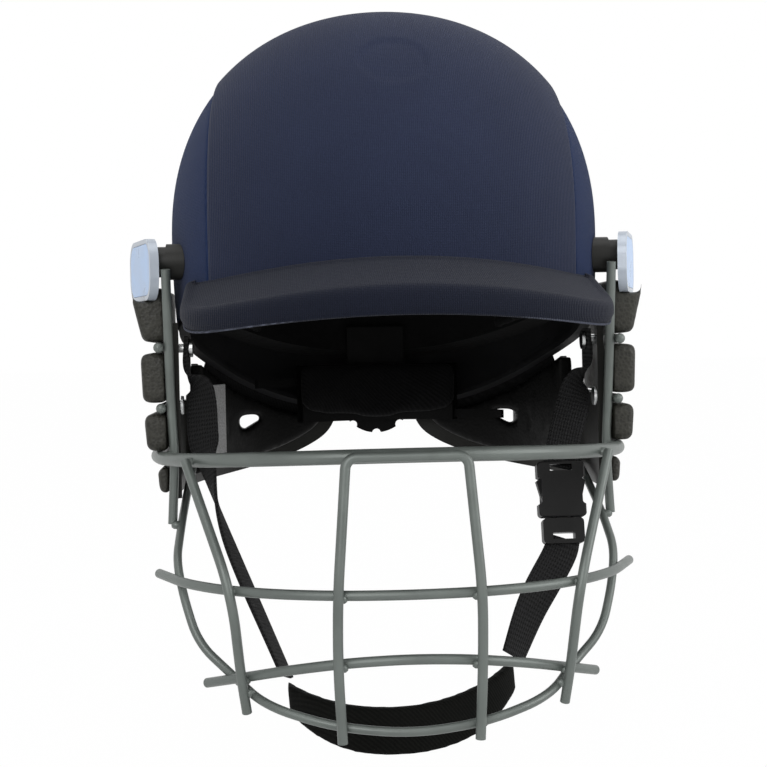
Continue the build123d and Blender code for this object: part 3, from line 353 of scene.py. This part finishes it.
# Cloth over the dome
def rimLevel(along):
    share = np.where(along < 0, along / dome["front"], along / dome["rear"])
    level = np.interp(share, dome["rimPlaceShares"], dome["rimLevelShares"])
    return dome["rimRear"] + level * (dome["rimFront"] - dome["rimRear"])


def ridgeAt(along):
    spare = dome["ridgeSpare"]
    share = (along + dome["front"] + spare) / (dome["front"] + dome["rear"] + 2 * spare)
    return dome["ridgeFront"] + (dome["ridgeRear"] - dome["ridgeFront"]) * share


def domeExcess(across, along, level, inset):
    flat = (along - dome["middle"]) / dome["stretch"]
    ring = np.hypot(across, flat) / (dome["half"] - inset)
    up = level - dome["level"]
    tall = np.where(up > 0, up / (dome["rise"] - inset), -up / (dome["fall"] - inset))
    return ring ** dome["power"] + np.abs(tall) ** dome["power"] - 1


def bisect(test, low, high, steps=36):
    low = np.array(low, dtype=float)
    high = np.array(high, dtype=float)
    for step in range(steps):
        middle = (low + high) / 2
        outside = test(middle) > 0
        high = np.where(outside, middle, high)
        low = np.where(outside, low, middle)
    return (low + high) / 2


cover = {"columns": 181, "rows": 241, "wall": 1.1, "spreadShare": 0.93, "edgeShare": 0.022, "edgeDrop": 1.75,
         "endShare": 0.006, "dimpleRadius": 15.2, "dimpleBlend": 1.3, "dimpleDepth": 0.65,
         "dimpleReach": 101.6, "dimpleLevel": 139.4, "dimpleTilt": 38.0, "dimpleBack": 30.0,
         "farReach": 260.0}


def makeFrontCover():
    spread = math.pi / 2 * cover["spreadShare"]
    shares = np.sin(np.linspace(-spread, spread, cover["columns"])) / math.sin(spread)   # closer at the edges
    inward = np.clip((np.abs(shares) - (1 - cover["edgeShare"])) / cover["edgeShare"], 0, 1)
    insets = cover["edgeDrop"] * (1 - np.sqrt(1 - inward ** 2 * 0.98))

    def onDome(share, angle, inset):
        def test(reach):
            along = dome["middle"] + dome["stretch"] * reach * np.cos(angle)
            level = dome["level"] + reach * np.sin(angle)
            return domeExcess(share * ridgeAt(along), along, level, inset)
        reach = bisect(test, np.zeros_like(angle), np.full_like(angle, cover["farReach"]))
        along = dome["middle"] + dome["stretch"] * reach * np.cos(angle)
        return share * ridgeAt(along), along, dome["level"] + reach * np.sin(angle)

    def edgeAngle(start, stop):
        def test(angle):
            across, along, level = onDome(shares, angle, insets)
            return rimLevel(along) - level + dome["rimGap"]
        return bisect(test, np.full_like(shares, start), np.full_like(shares, stop), 26)

    front = edgeAngle(math.pi / 2, math.pi * 1.45)
    rear = edgeAngle(math.pi / 2, -math.pi * 0.45)
    tilt = math.radians(cover["dimpleTilt"])
    axis = np.array([0, -math.cos(tilt), math.sin(tilt)])
    points = []
    for row in range(cover["rows"]):
        share = row / (cover["rows"] - 1)
        angle = front + (rear - front) * share
        across, along, level = onDome(shares, angle, insets)
        offset = np.stack([across, along + cover["dimpleReach"], level - cover["dimpleLevel"]], axis=1)
        lift = offset @ axis
        away = np.linalg.norm(offset - lift[:, None] * axis, axis=1)
        blend = cover["dimpleBlend"]
        sunk = np.clip((cover["dimpleRadius"] + blend - away) / (2 * blend), 0, 1)
        sunk = sunk * sunk * (3 - 2 * sunk) * (lift > -cover["dimpleBack"])
        atEnd = max(0.0, 1 - share / cover["endShare"]) + max(0.0, 1 - (1 - share) / cover["endShare"])
        roll = cover["edgeDrop"] * atEnd ** 2 / 2
        across, along, level = onDome(shares, angle, insets + cover["dimpleDepth"] * sunk + roll)
        points += [(x * mm, y * mm, z * mm) for x, y, z in zip(across, along, level)]
    piece = makePiece("frontCover", points, gridFaces(cover["rows"], cover["columns"]), "navyKnit", "helmet",
                      ["front_panel", "crown_disc"])
    turnOutward(piece, insideDome)
    thicken(piece, cover["wall"], -1)


sideCover = {"columns": 300, "rows": 70, "wall": 1.0, "inset": 1.7, "gap": 0.25, "roll": 0.9,
             "rollShare": 0.02, "farReach": 200.0, "farAcross": 130.0}


def makeSideCover(side, label):
    angles = np.linspace(0, 2 * math.pi, sideCover["columns"], endpoint=False)
    inset = sideCover["inset"]

    def place(reach, angle):
        along = dome["middle"] + dome["stretch"] * reach * np.cos(angle)
        level = dome["level"] + reach * np.sin(angle)
        return along, level

    def test(reach):
        along, level = place(reach, angles)
        pastRidge = domeExcess(ridgeAt(along) + sideCover["gap"], along, level, inset)
        pastRim = rimLevel(along) - level + dome["rimGap"]
        return np.maximum(pastRidge, pastRim)

    limit = bisect(test, np.zeros_like(angles), np.full_like(angles, sideCover["farReach"]))
    points = []
    for row in range(sideCover["rows"]):
        share = (row + 0.5) / (sideCover["rows"] - 0.5)
        along, level = place(limit * share, angles)
        atEdge = max(0.0, share - (1 - sideCover["rollShare"])) / sideCover["rollShare"]
        rolled = inset + sideCover["roll"] * atEdge ** 2
        top = bisect(lambda across: domeExcess(across, along, level, rolled), np.zeros_like(along),
                     np.full_like(along, sideCover["farAcross"]))
        points += [(side * x * mm, y * mm, z * mm) for x, y, z in zip(top, along, level)]
    middle = sum((Vector(point) for point in points[:sideCover["columns"]]), Vector()) / sideCover["columns"]
    faces = gridFaces(sideCover["rows"], sideCover["columns"], closed=True)
    points.append(tuple(middle))
    for column in range(sideCover["columns"]):
        faces.append((column, len(points) - 1, (column + 1) % sideCover["columns"]))
    piece = makePiece(f"sideCover_{label}", points, faces, "blueKnit", "helmet", f"side_panel_{label}")
    turnOutward(piece, insideDome)
    thicken(piece, sideCover["wall"], -1)


makeFrontCover()
makeSideCover(1, "left")
makeSideCover(-1, "right")
print("cover made")


# Peak
peak = {"half": 96.0, "tip": 94.0, "reach": 178.0, "root": 60.0, "corner": 70.0, "wall": 12.4,
        "rootLevel": 51.0, "rootPlace": 118.0, "rootAcross": 92.0, "fall": 0.273,
        "topRadius": 184.0, "underRadius": 202.0, "edge": 5.6, "lip": 8.0,
        "columns": 241, "topRows": 36, "edgeRows": 18, "underRows": 6,
        "clothWall": 0.9, "startLevel": 40.0, "topInset": 0.6, "underInset": 1.0,
        "welt": 0.5, "weltShare": 0.04, "weltSpreadShare": 0.05, "swellPower": 0.62, "heightPower": 0.8,
        "fold": 0.45, "foldAngle": -0.55, "foldSpread": 0.13,
        "liningRows": 30, "liningMargin": 4.0, "liningGap": 0.15, "liningWall": 0.6,
        "seamMargin": 1.9, "seamPoints": 161, "seamRise": 1.7, "seamRadius": 0.55}
insidePeak = Vector((0, -0.12, 0.03))


def peakOutline(margin, count):
    half = peak["half"] - margin
    depth = peak["reach"] - margin - peak["tip"]
    small = peak["corner"] - margin
    inset = half - small
    large = (inset ** 2 + depth ** 2 - small ** 2) / (2 * (depth - small))
    turn = math.atan2(large - depth, inset)
    sideRun = peak["tip"] - peak["root"]
    cornerRun = small * turn
    frontTurn = math.pi / 2 - turn
    frontRun = large * frontTurn
    total = sideRun + cornerRun + frontRun
    points = []
    for index in range(count):
        share = index / (count - 1) * 2 - 1          # from the wearer's left round the front
        side = -1 if share > 0 else 1
        run = (1 - abs(share)) * total
        if run < sideRun:
            x, y = half, -peak["root"] - run
        elif run < sideRun + cornerRun:
            angle = (run - sideRun) / small
            x, y = inset + small * math.cos(angle), -peak["tip"] - small * math.sin(angle)
        else:
            angle = turn + (run - sideRun - cornerRun) / large
            x = large * math.cos(angle)
            y = -(peak["tip"] + depth - large) - large * math.sin(angle)
        points.append((side * x, y))
    return np.array(points)


def peakLevel(across, along, drop):
    radius = peak["topRadius"] + (peak["underRadius"] - peak["topRadius"]) * drop / peak["wall"]
    top = peak["rootLevel"] + (peak["rootPlace"] + along) * peak["fall"]
    return top - drop - radius + np.sqrt(radius ** 2 - across ** 2)


def peakRoot(count, drop, inset):
    start = math.atan2(peak["root"] / dome["stretch"], peak["rootAcross"])
    angle = np.linspace(start, math.pi - start, count)
    level = np.full(count, peak["startLevel"])
    for step in range(6):
        share = (dome["level"] - level) / (dome["fall"] - inset)
        ring = (dome["half"] - inset) * (1 - np.clip(share, 0, 1) ** dome["power"]) ** (1 / dome["power"])
        across = ring * np.cos(angle)
        along = dome["middle"] - dome["stretch"] * ring * np.sin(angle)
        level = peakLevel(across, along, drop)
    return np.stack([across, along], axis=1)


def makePeak():
    count = peak["columns"]
    rim = peakOutline(peak["edge"], count)
    full = peakOutline(0, count)
    outward = full - rim
    outward /= np.maximum(np.linalg.norm(outward, axis=1), 1e-6)[:, None]
    root = peakRoot(count, 0, peak["topInset"])
    rows = []
    for row in range(peak["topRows"]):
        share = row / (peak["topRows"] - 1)
        flat = root + (rim - root) * share
        rise = peak["welt"] * math.exp(-((share - peak["weltShare"]) / peak["weltSpreadShare"]) ** 2)
        rows.append(np.column_stack([flat, peakLevel(flat[:, 0], flat[:, 1], 0) + rise]))
    top = peakLevel(rim[:, 0], rim[:, 1], 0)
    under = peakLevel(rim[:, 0], rim[:, 1], peak["wall"])
    for row in range(1, peak["edgeRows"] + 1):
        angle = math.pi / 2 - math.pi * row / (peak["edgeRows"] + 1)
        swell = abs(math.cos(angle)) ** peak["swellPower"]
        fold = peak["fold"] * math.exp(-((angle - peak["foldAngle"]) / peak["foldSpread"]) ** 2)
        height = math.copysign(abs(math.sin(angle)) ** peak["heightPower"], angle)
        flat = rim + outward * (peak["edge"] * swell - fold)
        drop = (flat[:, 1] - rim[:, 1]) * peak["fall"]
        rows.append(np.column_stack([flat, (top + under) / 2 + (top - under) / 2 * height + drop]))
    lip = peakOutline(peak["edge"] + peak["lip"], count)
    for row in range(1, peak["underRows"] + 1):
        flat = rim + (lip - rim) * row / peak["underRows"]
        rows.append(np.column_stack([flat, peakLevel(flat[:, 0], flat[:, 1], peak["wall"])]))
    points = np.concatenate(rows) * mm
    # The peak's cover takes the darkened navy knit, which is painted shade
    piece = makePiece("peakCover", points, gridFaces(len(rows), count), "peakKnitPaintedShade", "helmet", "peak_cover")
    turnOutward(piece, insidePeak)
    thicken(piece, peak["clothWall"], -1)


def makePeakLining():
    count = peak["columns"]
    near = peakRoot(count, peak["wall"], peak["underInset"])
    far = peakOutline(peak["edge"] + peak["liningMargin"], count)
    rows = []
    for row in range(peak["liningRows"]):
        flat = near + (far - near) * row / (peak["liningRows"] - 1)
        level = peakLevel(flat[:, 0], flat[:, 1], peak["wall"] + peak["liningGap"])
        rows.append(np.column_stack([flat, level]))
    points = np.concatenate(rows) * mm
    under = makePiece("peakLining", points, gridFaces(len(rows), count), "blackLining", "helmet",
                      "peak_lining")
    thicken(under, peak["liningWall"], 0)


def makePeakSeam():
    seam = peakOutline(peak["seamMargin"], peak["seamPoints"])
    level = peakLevel(seam[:, 0], seam[:, 1], peak["wall"] - peak["seamRise"])
    path = [(x * mm, y * mm, z * mm) for (x, y), z in zip(seam, level)]
    tubePiece("peakSeam", path, peak["seamRadius"] * mm, "seamThread", "helmet")


def tubePiece(name, path, radius, finishName, body):
    curve = bpy.data.curves.new(name, "CURVE")
    curve.dimensions = "3D"
    spline = curve.splines.new("POLY")
    spline.points.add(len(path) - 1)
    for point, place in zip(spline.points, path):
        point.co = (*place, 1)
    curve.bevel_depth = radius
    curve.bevel_resolution = 3
    curve.use_fill_caps = True
    holder = bpy.data.objects.new(name + "Line", curve)
    scene.collection.objects.link(holder)
    mesh = bpy.data.meshes.new_from_object(holder.evaluated_get(bpy.context.evaluated_depsgraph_get()))
    bpy.data.objects.remove(holder)
    piece = bpy.data.objects.new(name, mesh)
    scene.collection.objects.link(piece)
    mesh.materials.clear()
    mesh.materials.append(finish[finishName])
    mesh.polygons.foreach_set("use_smooth", [True] * len(mesh.polygons))
    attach(piece, body)


makePeak()
makePeakLining()
makePeakSeam()
print("peak made")


# Pads, with voxels in millimetres
soft = {"relax": 0.5, "steps": 12, "cap": 0.0016, "settle": 6, "fill": 0.6}
softPads = [
    ("browPad", "brow_pad", "blackLining", "helmet", "black_lining", 2.0),
    ("templePad_left", "temple_pad_left", "blackLining", "helmet", "black_lining", 2.0),
    ("templePad_right", "temple_pad_right", "blackLining", "helmet", "black_lining", 2.0),
    ("crownPad", "crown_pad", "blackLining", "helmet", "black_lining", 2.0),
    ("neckPad_left", "neck_pad_left", "neckLeather", "helmet", "pad_leather", 1.5),
    ("neckPad_right", "neck_pad_right", "neckLeather", "helmet", "pad_leather", 1.5),
    ("chinCushion", "chin_cup", "cupCloth", "chin_strap", "cup_fabric", 1.3),
]
blockPads = {"places": ("upper", "middle", "lower", "tail"), "voxel": 1.3, "pressure": 3.0}
cradlePad = {"voxel": 2.0, "pressure": 4.0, "cap": 0.003, "settle": 60}


def nodeCopy(name, node, finishName):
    mesh = nodeObject(node).data.copy()
    mesh.materials.clear()
    mesh.materials.append(finish[finishName])
    piece = bpy.data.objects.new(name, mesh)
    piece.matrix_world = nodeObject(node).matrix_world.copy()
    scene.collection.objects.link(piece)
    return piece


def inflate(piece, pressure, cap):
    before = [vertex.co.copy() for vertex in piece.data.vertices]
    cloth = piece.modifiers.new("cloth", "CLOTH")
    cloth.settings.use_pressure = True
    cloth.settings.uniform_pressure_force = pressure
    cloth.settings.effector_weights.gravity = 0
    cloth.point_cache.frame_end = soft["steps"]
    for step in range(1, soft["steps"] + 1):
        scene.frame_set(step)
    applyModifiers(piece)
    scene.frame_set(1)
    for vertex, old in zip(piece.data.vertices, before):
        move = vertex.co - old
        if move.length > cap:
            vertex.co = old + move.normalized() * cap


def softCopy(name, node, finishName, body, voxel, pressure=0.0, cap=soft["cap"], settle=soft["settle"]):
    piece = nodeCopy(name, node, finishName)
    remesh = piece.modifiers.new("even", "REMESH")
    remesh.mode = "VOXEL"
    remesh.voxel_size = voxel * mm
    relax = piece.modifiers.new("relax", "SMOOTH")
    relax.factor = soft["relax"]
    relax.iterations = settle
    applyModifiers(piece)
    if pressure > 0:
        inflate(piece, pressure, cap)
    smooth = piece.modifiers.new("smooth", "SUBSURF")
    smooth.levels = 1
    smooth.render_levels = 1
    applyModifiers(piece)
    piece.data.materials.clear()
    piece.data.materials.append(finish[finishName])
    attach(piece, body)
    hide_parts(node)


for name, node, finishName, body, slot, voxel in softPads:
    softCopy(name, node, finishName, body, voxel)
for place in blockPads["places"]:
    for label in ("left", "right"):
        softCopy(f"{place}Cushion_{label}", f"{place}_pad_{label}", "padLeather", "helmet",
                 blockPads["voxel"], blockPads["pressure"])
softCopy("cradleCushion", "cradle_pad", "blackLining", "helmet", cradlePad["voxel"],
         cradlePad["pressure"], cradlePad["cap"], cradlePad["settle"])
print("pads made:", len(softPads) + 2 * len(blockPads["places"]) + 1)


# Lining between the shell's edge and the guards
skirt = {"half": 104.0, "rear": 118.6, "power": 2.2, "shellInset": 6.4, "above": 7.0, "below": 9.0,
         "columns": 120, "rows": 14, "start": 22.0, "stop": 77.0, "bulgeShare": 0.22, "wall": 1.0}


def makeSkirt(side, label):
    angles = np.radians(np.linspace(skirt["start"], skirt["stop"], skirt["columns"]))
    root = 2 / skirt["power"]
    across = skirt["half"] * np.cos(angles) ** root
    along = skirt["rear"] * np.sign(np.sin(angles)) * np.abs(np.sin(angles)) ** root
    low = rimLevel(along) - skirt["below"]
    high = rimLevel(along) + skirt["above"]
    share = np.clip((dome["level"] - high) / dome["fall"], 0, 1)
    ring = (dome["half"] - skirt["shellInset"]) * (1 - share ** dome["power"]) ** (1 / dome["power"])
    turn = np.arctan2((along - dome["middle"]) / dome["stretch"], across)
    topAcross = ring * np.cos(turn)
    topAlong = dome["middle"] + dome["stretch"] * ring * np.sin(turn)
    points = []
    for row in range(skirt["rows"]):
        part = row / (skirt["rows"] - 1)
        drop = part + skirt["bulgeShare"] * math.sin(math.pi * part)
        for index in range(skirt["columns"]):
            x = topAcross[index] + (across[index] - topAcross[index]) * part
            y = topAlong[index] + (along[index] - topAlong[index]) * part
            z = high[index] + (low[index] - high[index]) * min(1.0, drop)
            points.append((side * x * mm, y * mm, z * mm))
    faces = gridFaces(skirt["rows"], skirt["columns"])
    piece = makePiece(f"guardLining_{label}", points, faces, "blackLining", "helmet", None)
    thicken(piece, skirt["wall"], 0)


makeSkirt(1, "left")
makeSkirt(-1, "right")
print("guard lining made")


# Label, a stiff woven tab
tab = {"hem": 0.15, "segments": 2}


def makeLabel():
    piece = nodeCopy("careTab", "care_label", "labelCloth")
    bevel = piece.modifiers.new("hem", "BEVEL")
    bevel.width = tab["hem"] * mm
    bevel.segments = tab["segments"]
    applyModifiers(piece)
    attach(piece, "helmet")
    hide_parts("care_label")


makeLabel()
print("label made")


# Webbing
strap = {"width": 16.0, "wall": 1.8, "pivotAcross": 98.0, "pivotPlace": -26.0, "pivotLevel": 12.0, "pin": 2.2,
         "edge": 0.25, "edgeWallShare": 0.75, "border": 0.9, "swellShare": 0.05,
         "innerShares": (-0.6, -0.3, 0, 0.3, 0.6)}
buckle = {"across": 79.0, "place": -55.0, "level": -65.0, "lean": 13.0, "halfLength": 19.5, "tuck": 2.5}
cup = {"half": 52.0, "place": 108.0, "sag": 28.0, "level": -147.5, "lift": 9.0, "tilt": 4.0, "endShare": 0.96,
       "sagShare": 0.93}
# Each step of a strap is in strap widths from where its part begins, with the turn of the webbing in degrees
strapSteps = {
    "buckle": [(-0.3, -0.12, -0.5, 40), (-0.55, -0.5, -1.2, 0), (-0.9, -1.0, -2.1, 0)],
    "long": [(0.35, -0.1, -0.55, 150), (0.45, -0.5, -1.9, 160), (0.6, -0.8, -2.8, 120),
             (1.2, -1.5, -5.0, 80)],
    "longEnd": [(-0.15, 0.15, 0.25, 80)],
    "lower": [(0, 0, 0, 0), (-0.2, -0.2, -0.5, 0), (-1.1, -0.9, -1.8, 20)],
    "lowerEnd": [(0.12, 0.15, 0.17, 40)],
}


def onBuckle(rise):
    lean = math.radians(buckle["lean"])
    return (buckle["across"], buckle["place"] + rise * math.sin(lean),
            buckle["level"] + rise * math.cos(lean))


def cupEnd(side):
    across = side * cup["half"] * cup["endShare"]
    tilt = math.radians(cup["tilt"])
    return (across * math.cos(tilt) - cup["lift"] * math.sin(tilt),
            -cup["place"] + cup["sag"] * cup["sagShare"],
            cup["level"] + across * math.sin(tilt) + cup["lift"] * math.cos(tilt))


def smoothLine(values, count):
    values = np.array(values, dtype=float)
    ends = np.vstack([2 * values[0] - values[1], values, 2 * values[-1] - values[-2]])
    made = []
    for index in range(count):
        spot = index / (count - 1) * (len(values) - 1)
        cell = min(int(spot), len(values) - 2)
        part = spot - cell
        a, b, c, d = ends[cell:cell + 4]
        made.append(0.5 * (2 * b + (c - a) * part + (2 * a - 5 * b + 4 * c - d) * part ** 2
                           + (3 * b - a - 3 * c + d) * part ** 3))
    return np.array(made)


def ribbonProfile():
    half = strap["width"] / 2
    wall = strap["wall"] / 2
    edge = [(half, 0.0), (half - strap["edge"], wall * strap["edgeWallShare"]),
            (half - strap["border"], wall)]
    profile = [(-x, y) for x, y in edge]
    profile += [(half * share, wall * (1 + strap["swellShare"] * math.cos(share * math.pi)))
                for share in strap["innerShares"]]
    profile += reversed(edge)
    return profile + [(x, -y) for x, y in reversed(profile[1:-1])]


def stepsFrom(origin, key):
    width = strap["width"]
    return [(origin[0] + width * x, origin[1] + width * y, origin[2] + width * z, turn)
            for x, y, z, turn in strapSteps[key]]


def makeRibbon(name, stations, node, body="chin_strap", count=110):
    line = smoothLine(stations, count)
    places = line[:, :3]
    profile = ribbonProfile()
    points = []
    uvs = []
    run = 0.0
    for index in range(count):
        ahead = places[min(index + 1, count - 1)] - places[max(index - 1, 0)]
        ahead /= np.linalg.norm(ahead)
        turn = math.radians(line[index, 3])
        wide = np.array([math.cos(turn), math.sin(turn), 0.0])
        wide -= ahead * wide.dot(ahead)
        wide /= np.linalg.norm(wide)
        thick = np.cross(ahead, wide)
        if index:
            run += np.linalg.norm(places[index] - places[index - 1])
        for x, y in profile:
            points.append(tuple((places[index] + wide * x + thick * y) * mm))
            uvs.append((run * mm, x * mm))
    columns = len(profile)
    faces = gridFaces(count, columns, closed=True)
    faces.append(tuple(reversed(range(columns))))
    faces.append(tuple(range((count - 1) * columns, count * columns)))
    return makePiece(name, points, faces, "webbing", body, node, uvs=uvs)


def hangerPoints(side):
    loop = strap["pin"] + strap["wall"] * 2
    x, y, z = side * strap["pivotAcross"], strap["pivotPlace"], strap["pivotLevel"]
    return [(x, y, z + loop, 90), (x, y, z - 2 * loop, 90)]


def makeStraps():
    across, place = strap["pivotAcross"], strap["pivotPlace"]
    top = onBuckle(buckle["halfLength"] - buckle["tuck"])
    makeRibbon("buckleWebbing", hangerPoints(1) + stepsFrom((across, place, 0), "buckle") + [(*top, 0)],
               "buckle_strap")
    makeRibbon("longWebbing", hangerPoints(-1) + stepsFrom((-across, place, 0), "long")
               + stepsFrom(cupEnd(-1), "longEnd"), "long_strap", count=180)
    start = onBuckle(-buckle["halfLength"] + buckle["tuck"])
    end = cupEnd(1)
    lower = makeRibbon("lowerWebbing", stepsFrom(start, "lower") + stepsFrom(end, "lowerEnd"), "lower_strap",
                       body=None, count=90)
    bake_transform(lower)


makeStraps()
print("webbing made")


# Weld beads where the wires cross
weld = {"long": 2.6, "wide": 2.0, "apart": 0.004, "centreGap": 0.002, "rings": 7, "turns": 12,
        "ripple": 0.09, "lobes": 3, "lobeTurn": 40, "pairs": [
    (bar, upright) for bar in ("top_bar", "second_bar", "third_bar", "perimeter_wire")
    for upright in ("centre_bars", "outer_bar_left", "outer_bar_right")] + [
    ("perimeter_wire", "second_bar"), ("perimeter_wire", "third_bar"), ("perimeter_wire", "side_bar_left"),
    ("perimeter_wire", "side_bar_right"), ("top_bar", "side_bar_left"), ("top_bar", "side_bar_right")]}


def nodePoints(name):
    node = nodeObject(name)
    return np.array([node.matrix_world @ vertex.co for vertex in node.data.vertices])


def nearestGap(first, second):
    tree = kdtree.KDTree(len(second))
    for index, point in enumerate(second):
        tree.insert(point, index)
    tree.balance()
    gap, here, there = min((tree.find(point)[2], tuple(point), tuple(tree.find(point)[0])) for point in first)
    return gap, (Vector(here) + Vector(there)) / 2


def makeBlobs(name, centres, rings, turns, around):
    points = []
    faces = []
    for centre in centres:
        first = len(points)
        faces += [tuple(first + index for index in face) for face in gridFaces(rings, turns, closed=True)]
        points += [centre + around(centre, latitude, longitude) * mm
                   for latitude, longitude in spherePlaces(rings, turns)]
    makePiece(name, points, faces, "wirePaint", "helmet", None)


def aroundWeld(centre, latitude, longitude):
    lobes = math.sin(weld["lobes"] * longitude + weld["lobeTurn"] * centre.x) * math.sin(2 * latitude)
    flat = weld["wide"] * math.sin(latitude)
    bead = Vector((weld["long"] * math.sin(latitude) * math.cos(longitude), flat * math.sin(longitude),
                   weld["wide"] * math.cos(latitude)))
    return bead * (1 + weld["ripple"] * lobes)


def makeWelds():
    places = []
    for names in weld["pairs"]:
        ends = [nodePoints(name) for name in names]
        for side in (-1, 1):
            halves = [points[points[:, 0] * side > weld["centreGap"]] for points in ends]
            if min(len(half) for half in halves) == 0:
                continue
            gap, place = nearestGap(*halves)
            if gap < weld["apart"]:
                places.append(place)
    makeBlobs("weldBeads", places, weld["rings"], weld["turns"], aroundWeld)
    return len(places)


print("weld beads:", makeWelds())


# Rounded front ends of the side wires
nub = {"radius": 2.45, "reach": 0.9, "slice": 0.3, "rings": 9, "turns": 16}


def aroundNub(centre, latitude, longitude):
    return nub["radius"] * Vector((math.sin(latitude) * math.cos(longitude),
                                   -nub["reach"] * math.cos(latitude),
                                   math.sin(latitude) * math.sin(longitude)))


def makeNubs():
    places = nodePoints("side_wires")
    middle = places[:, 2].mean()
    ends = []
    for side in (-1, 1):
        for upper in (False, True):
            wire = places[(places[:, 0] * side > 0) & ((places[:, 2] > middle) == upper)]
            ends.append(Vector(wire[wire[:, 1] < wire[:, 1].min() + nub["slice"] * mm].mean(axis=0)))
    makeBlobs("wireNubs", ends, nub["rings"], nub["turns"], aroundNub)


makeNubs()
print("wire ends rounded")


# Camera, at the place fitted to the photograph
lens = {"place": (-45.7, -759.4, 12.2), "turn": 3.35, "pitch": -1.52, "roll": -1.18, "millimetres": 70.36,
        "sensor": 36.0, "near": 0.01}


def makeCamera():
    turn, pitch, roll = (math.radians(lens[key]) for key in ("turn", "pitch", "roll"))
    forward = Vector((math.sin(turn) * math.cos(pitch), math.cos(turn) * math.cos(pitch), math.sin(pitch)))
    right = Vector((math.cos(turn), -math.sin(turn), 0))
    up = right.cross(forward)
    rolledRight = right * math.cos(roll) + up * math.sin(roll)
    rolledUp = up * math.cos(roll) - right * math.sin(roll)
    data = bpy.data.cameras.new("camera")
    data.lens = lens["millimetres"]
    data.sensor_width = lens["sensor"]
    data.clip_start = lens["near"]
    camera = bpy.data.objects.new("camera", data)
    scene.collection.objects.link(camera)
    turned = Matrix((rolledRight, rolledUp, -forward)).transposed().to_4x4()
    camera.matrix_world = Matrix.Translation(Vector(lens["place"]) * mm) @ turned
    scene.camera = camera


makeCamera()
print("camera placed")


# Floor, backdrop and lamps, in metres and watts; each lamp has its place, its width and its power
studio = {"floorLevel": -0.1705, "size": 12.0, "white": 0.99, "paper": (0.9, 0.9, 0.9, 1), "paperRough": 0.9,
          "world": 0.36, "lamps": {"topLamp": ((0.0, -0.25, 1.25), 1.0, 6.0),
                                   "frontLamp": ((-0.5, -1.35, 0.55), 0.9, 9.0),
                                   "sideLamp": ((1.1, -0.5, 0.35), 0.8, 6.0)}}


def seenStraight(tree):    # by the camera, or in a mirror or through glass
    light = addNode(tree, "ShaderNodeLightPath")
    seen = mathNode(tree, "MAXIMUM", light.outputs["Is Camera Ray"], light.outputs["Is Glossy Ray"])
    return mathNode(tree, "MAXIMUM", seen, light.outputs["Is Transmission Ray"])


def studioMaterial(name, glow):
    mat, tree, shader = newMaterial(name)
    shader.inputs["Base Color"].default_value = studio["paper"]
    setInputs(shader, rough=studio["paperRough"])
    bright = addNode(tree, "ShaderNodeEmission", Strength=1.0)
    mix = addNode(tree, "ShaderNodeMixShader")
    tree.links.new(mathNode(tree, "MULTIPLY", seenStraight(tree), glow), mix.inputs[0])
    tree.links.new(shader.outputs[0], mix.inputs[1])
    tree.links.new(bright.outputs[0], mix.inputs[2])
    tree.links.new(mix.outputs[0], tree.nodes["Material Output"].inputs["Surface"])
    return mat


def makeFloor():
    size = studio["size"]
    level = studio["floorLevel"]
    mesh = bpy.data.meshes.new("floor")
    corners = [(-size, -size, level), (size, -size, level), (size, size, level), (-size, size, level)]
    mesh.from_pydata(corners, [], [(0, 1, 2, 3)])
    mesh.materials.append(studioMaterial("floorPaper", studio["white"]))
    floor = bpy.data.objects.new("floor", mesh)
    scene.collection.objects.link(floor)


def makeWorld():
    world = bpy.data.worlds.new("studioWorld")
    world.use_nodes = True
    tree = world.node_tree
    back = tree.nodes["Background"]
    back.inputs["Color"].default_value = (1, 1, 1, 1)
    strength = mathNode(tree, "MULTIPLY", seenStraight(tree), 1 - studio["world"])
    strength = mathNode(tree, "ADD", strength, studio["world"])
    tree.links.new(strength, back.inputs["Strength"])
    scene.world = world


def makeLamps():
    for name, (place, across, power) in studio["lamps"].items():
        data = bpy.data.lights.new(name, "AREA")
        data.energy = power
        data.size = across
        lamp = bpy.data.objects.new(name, data)
        lamp.location = place
        lamp.rotation_euler = (-Vector(place)).to_track_quat("-Z", "Y").to_euler()
        scene.collection.objects.link(lamp)


makeFloor()
makeWorld()
makeLamps()
scene.view_settings.view_transform = "Standard"
print("studio made")
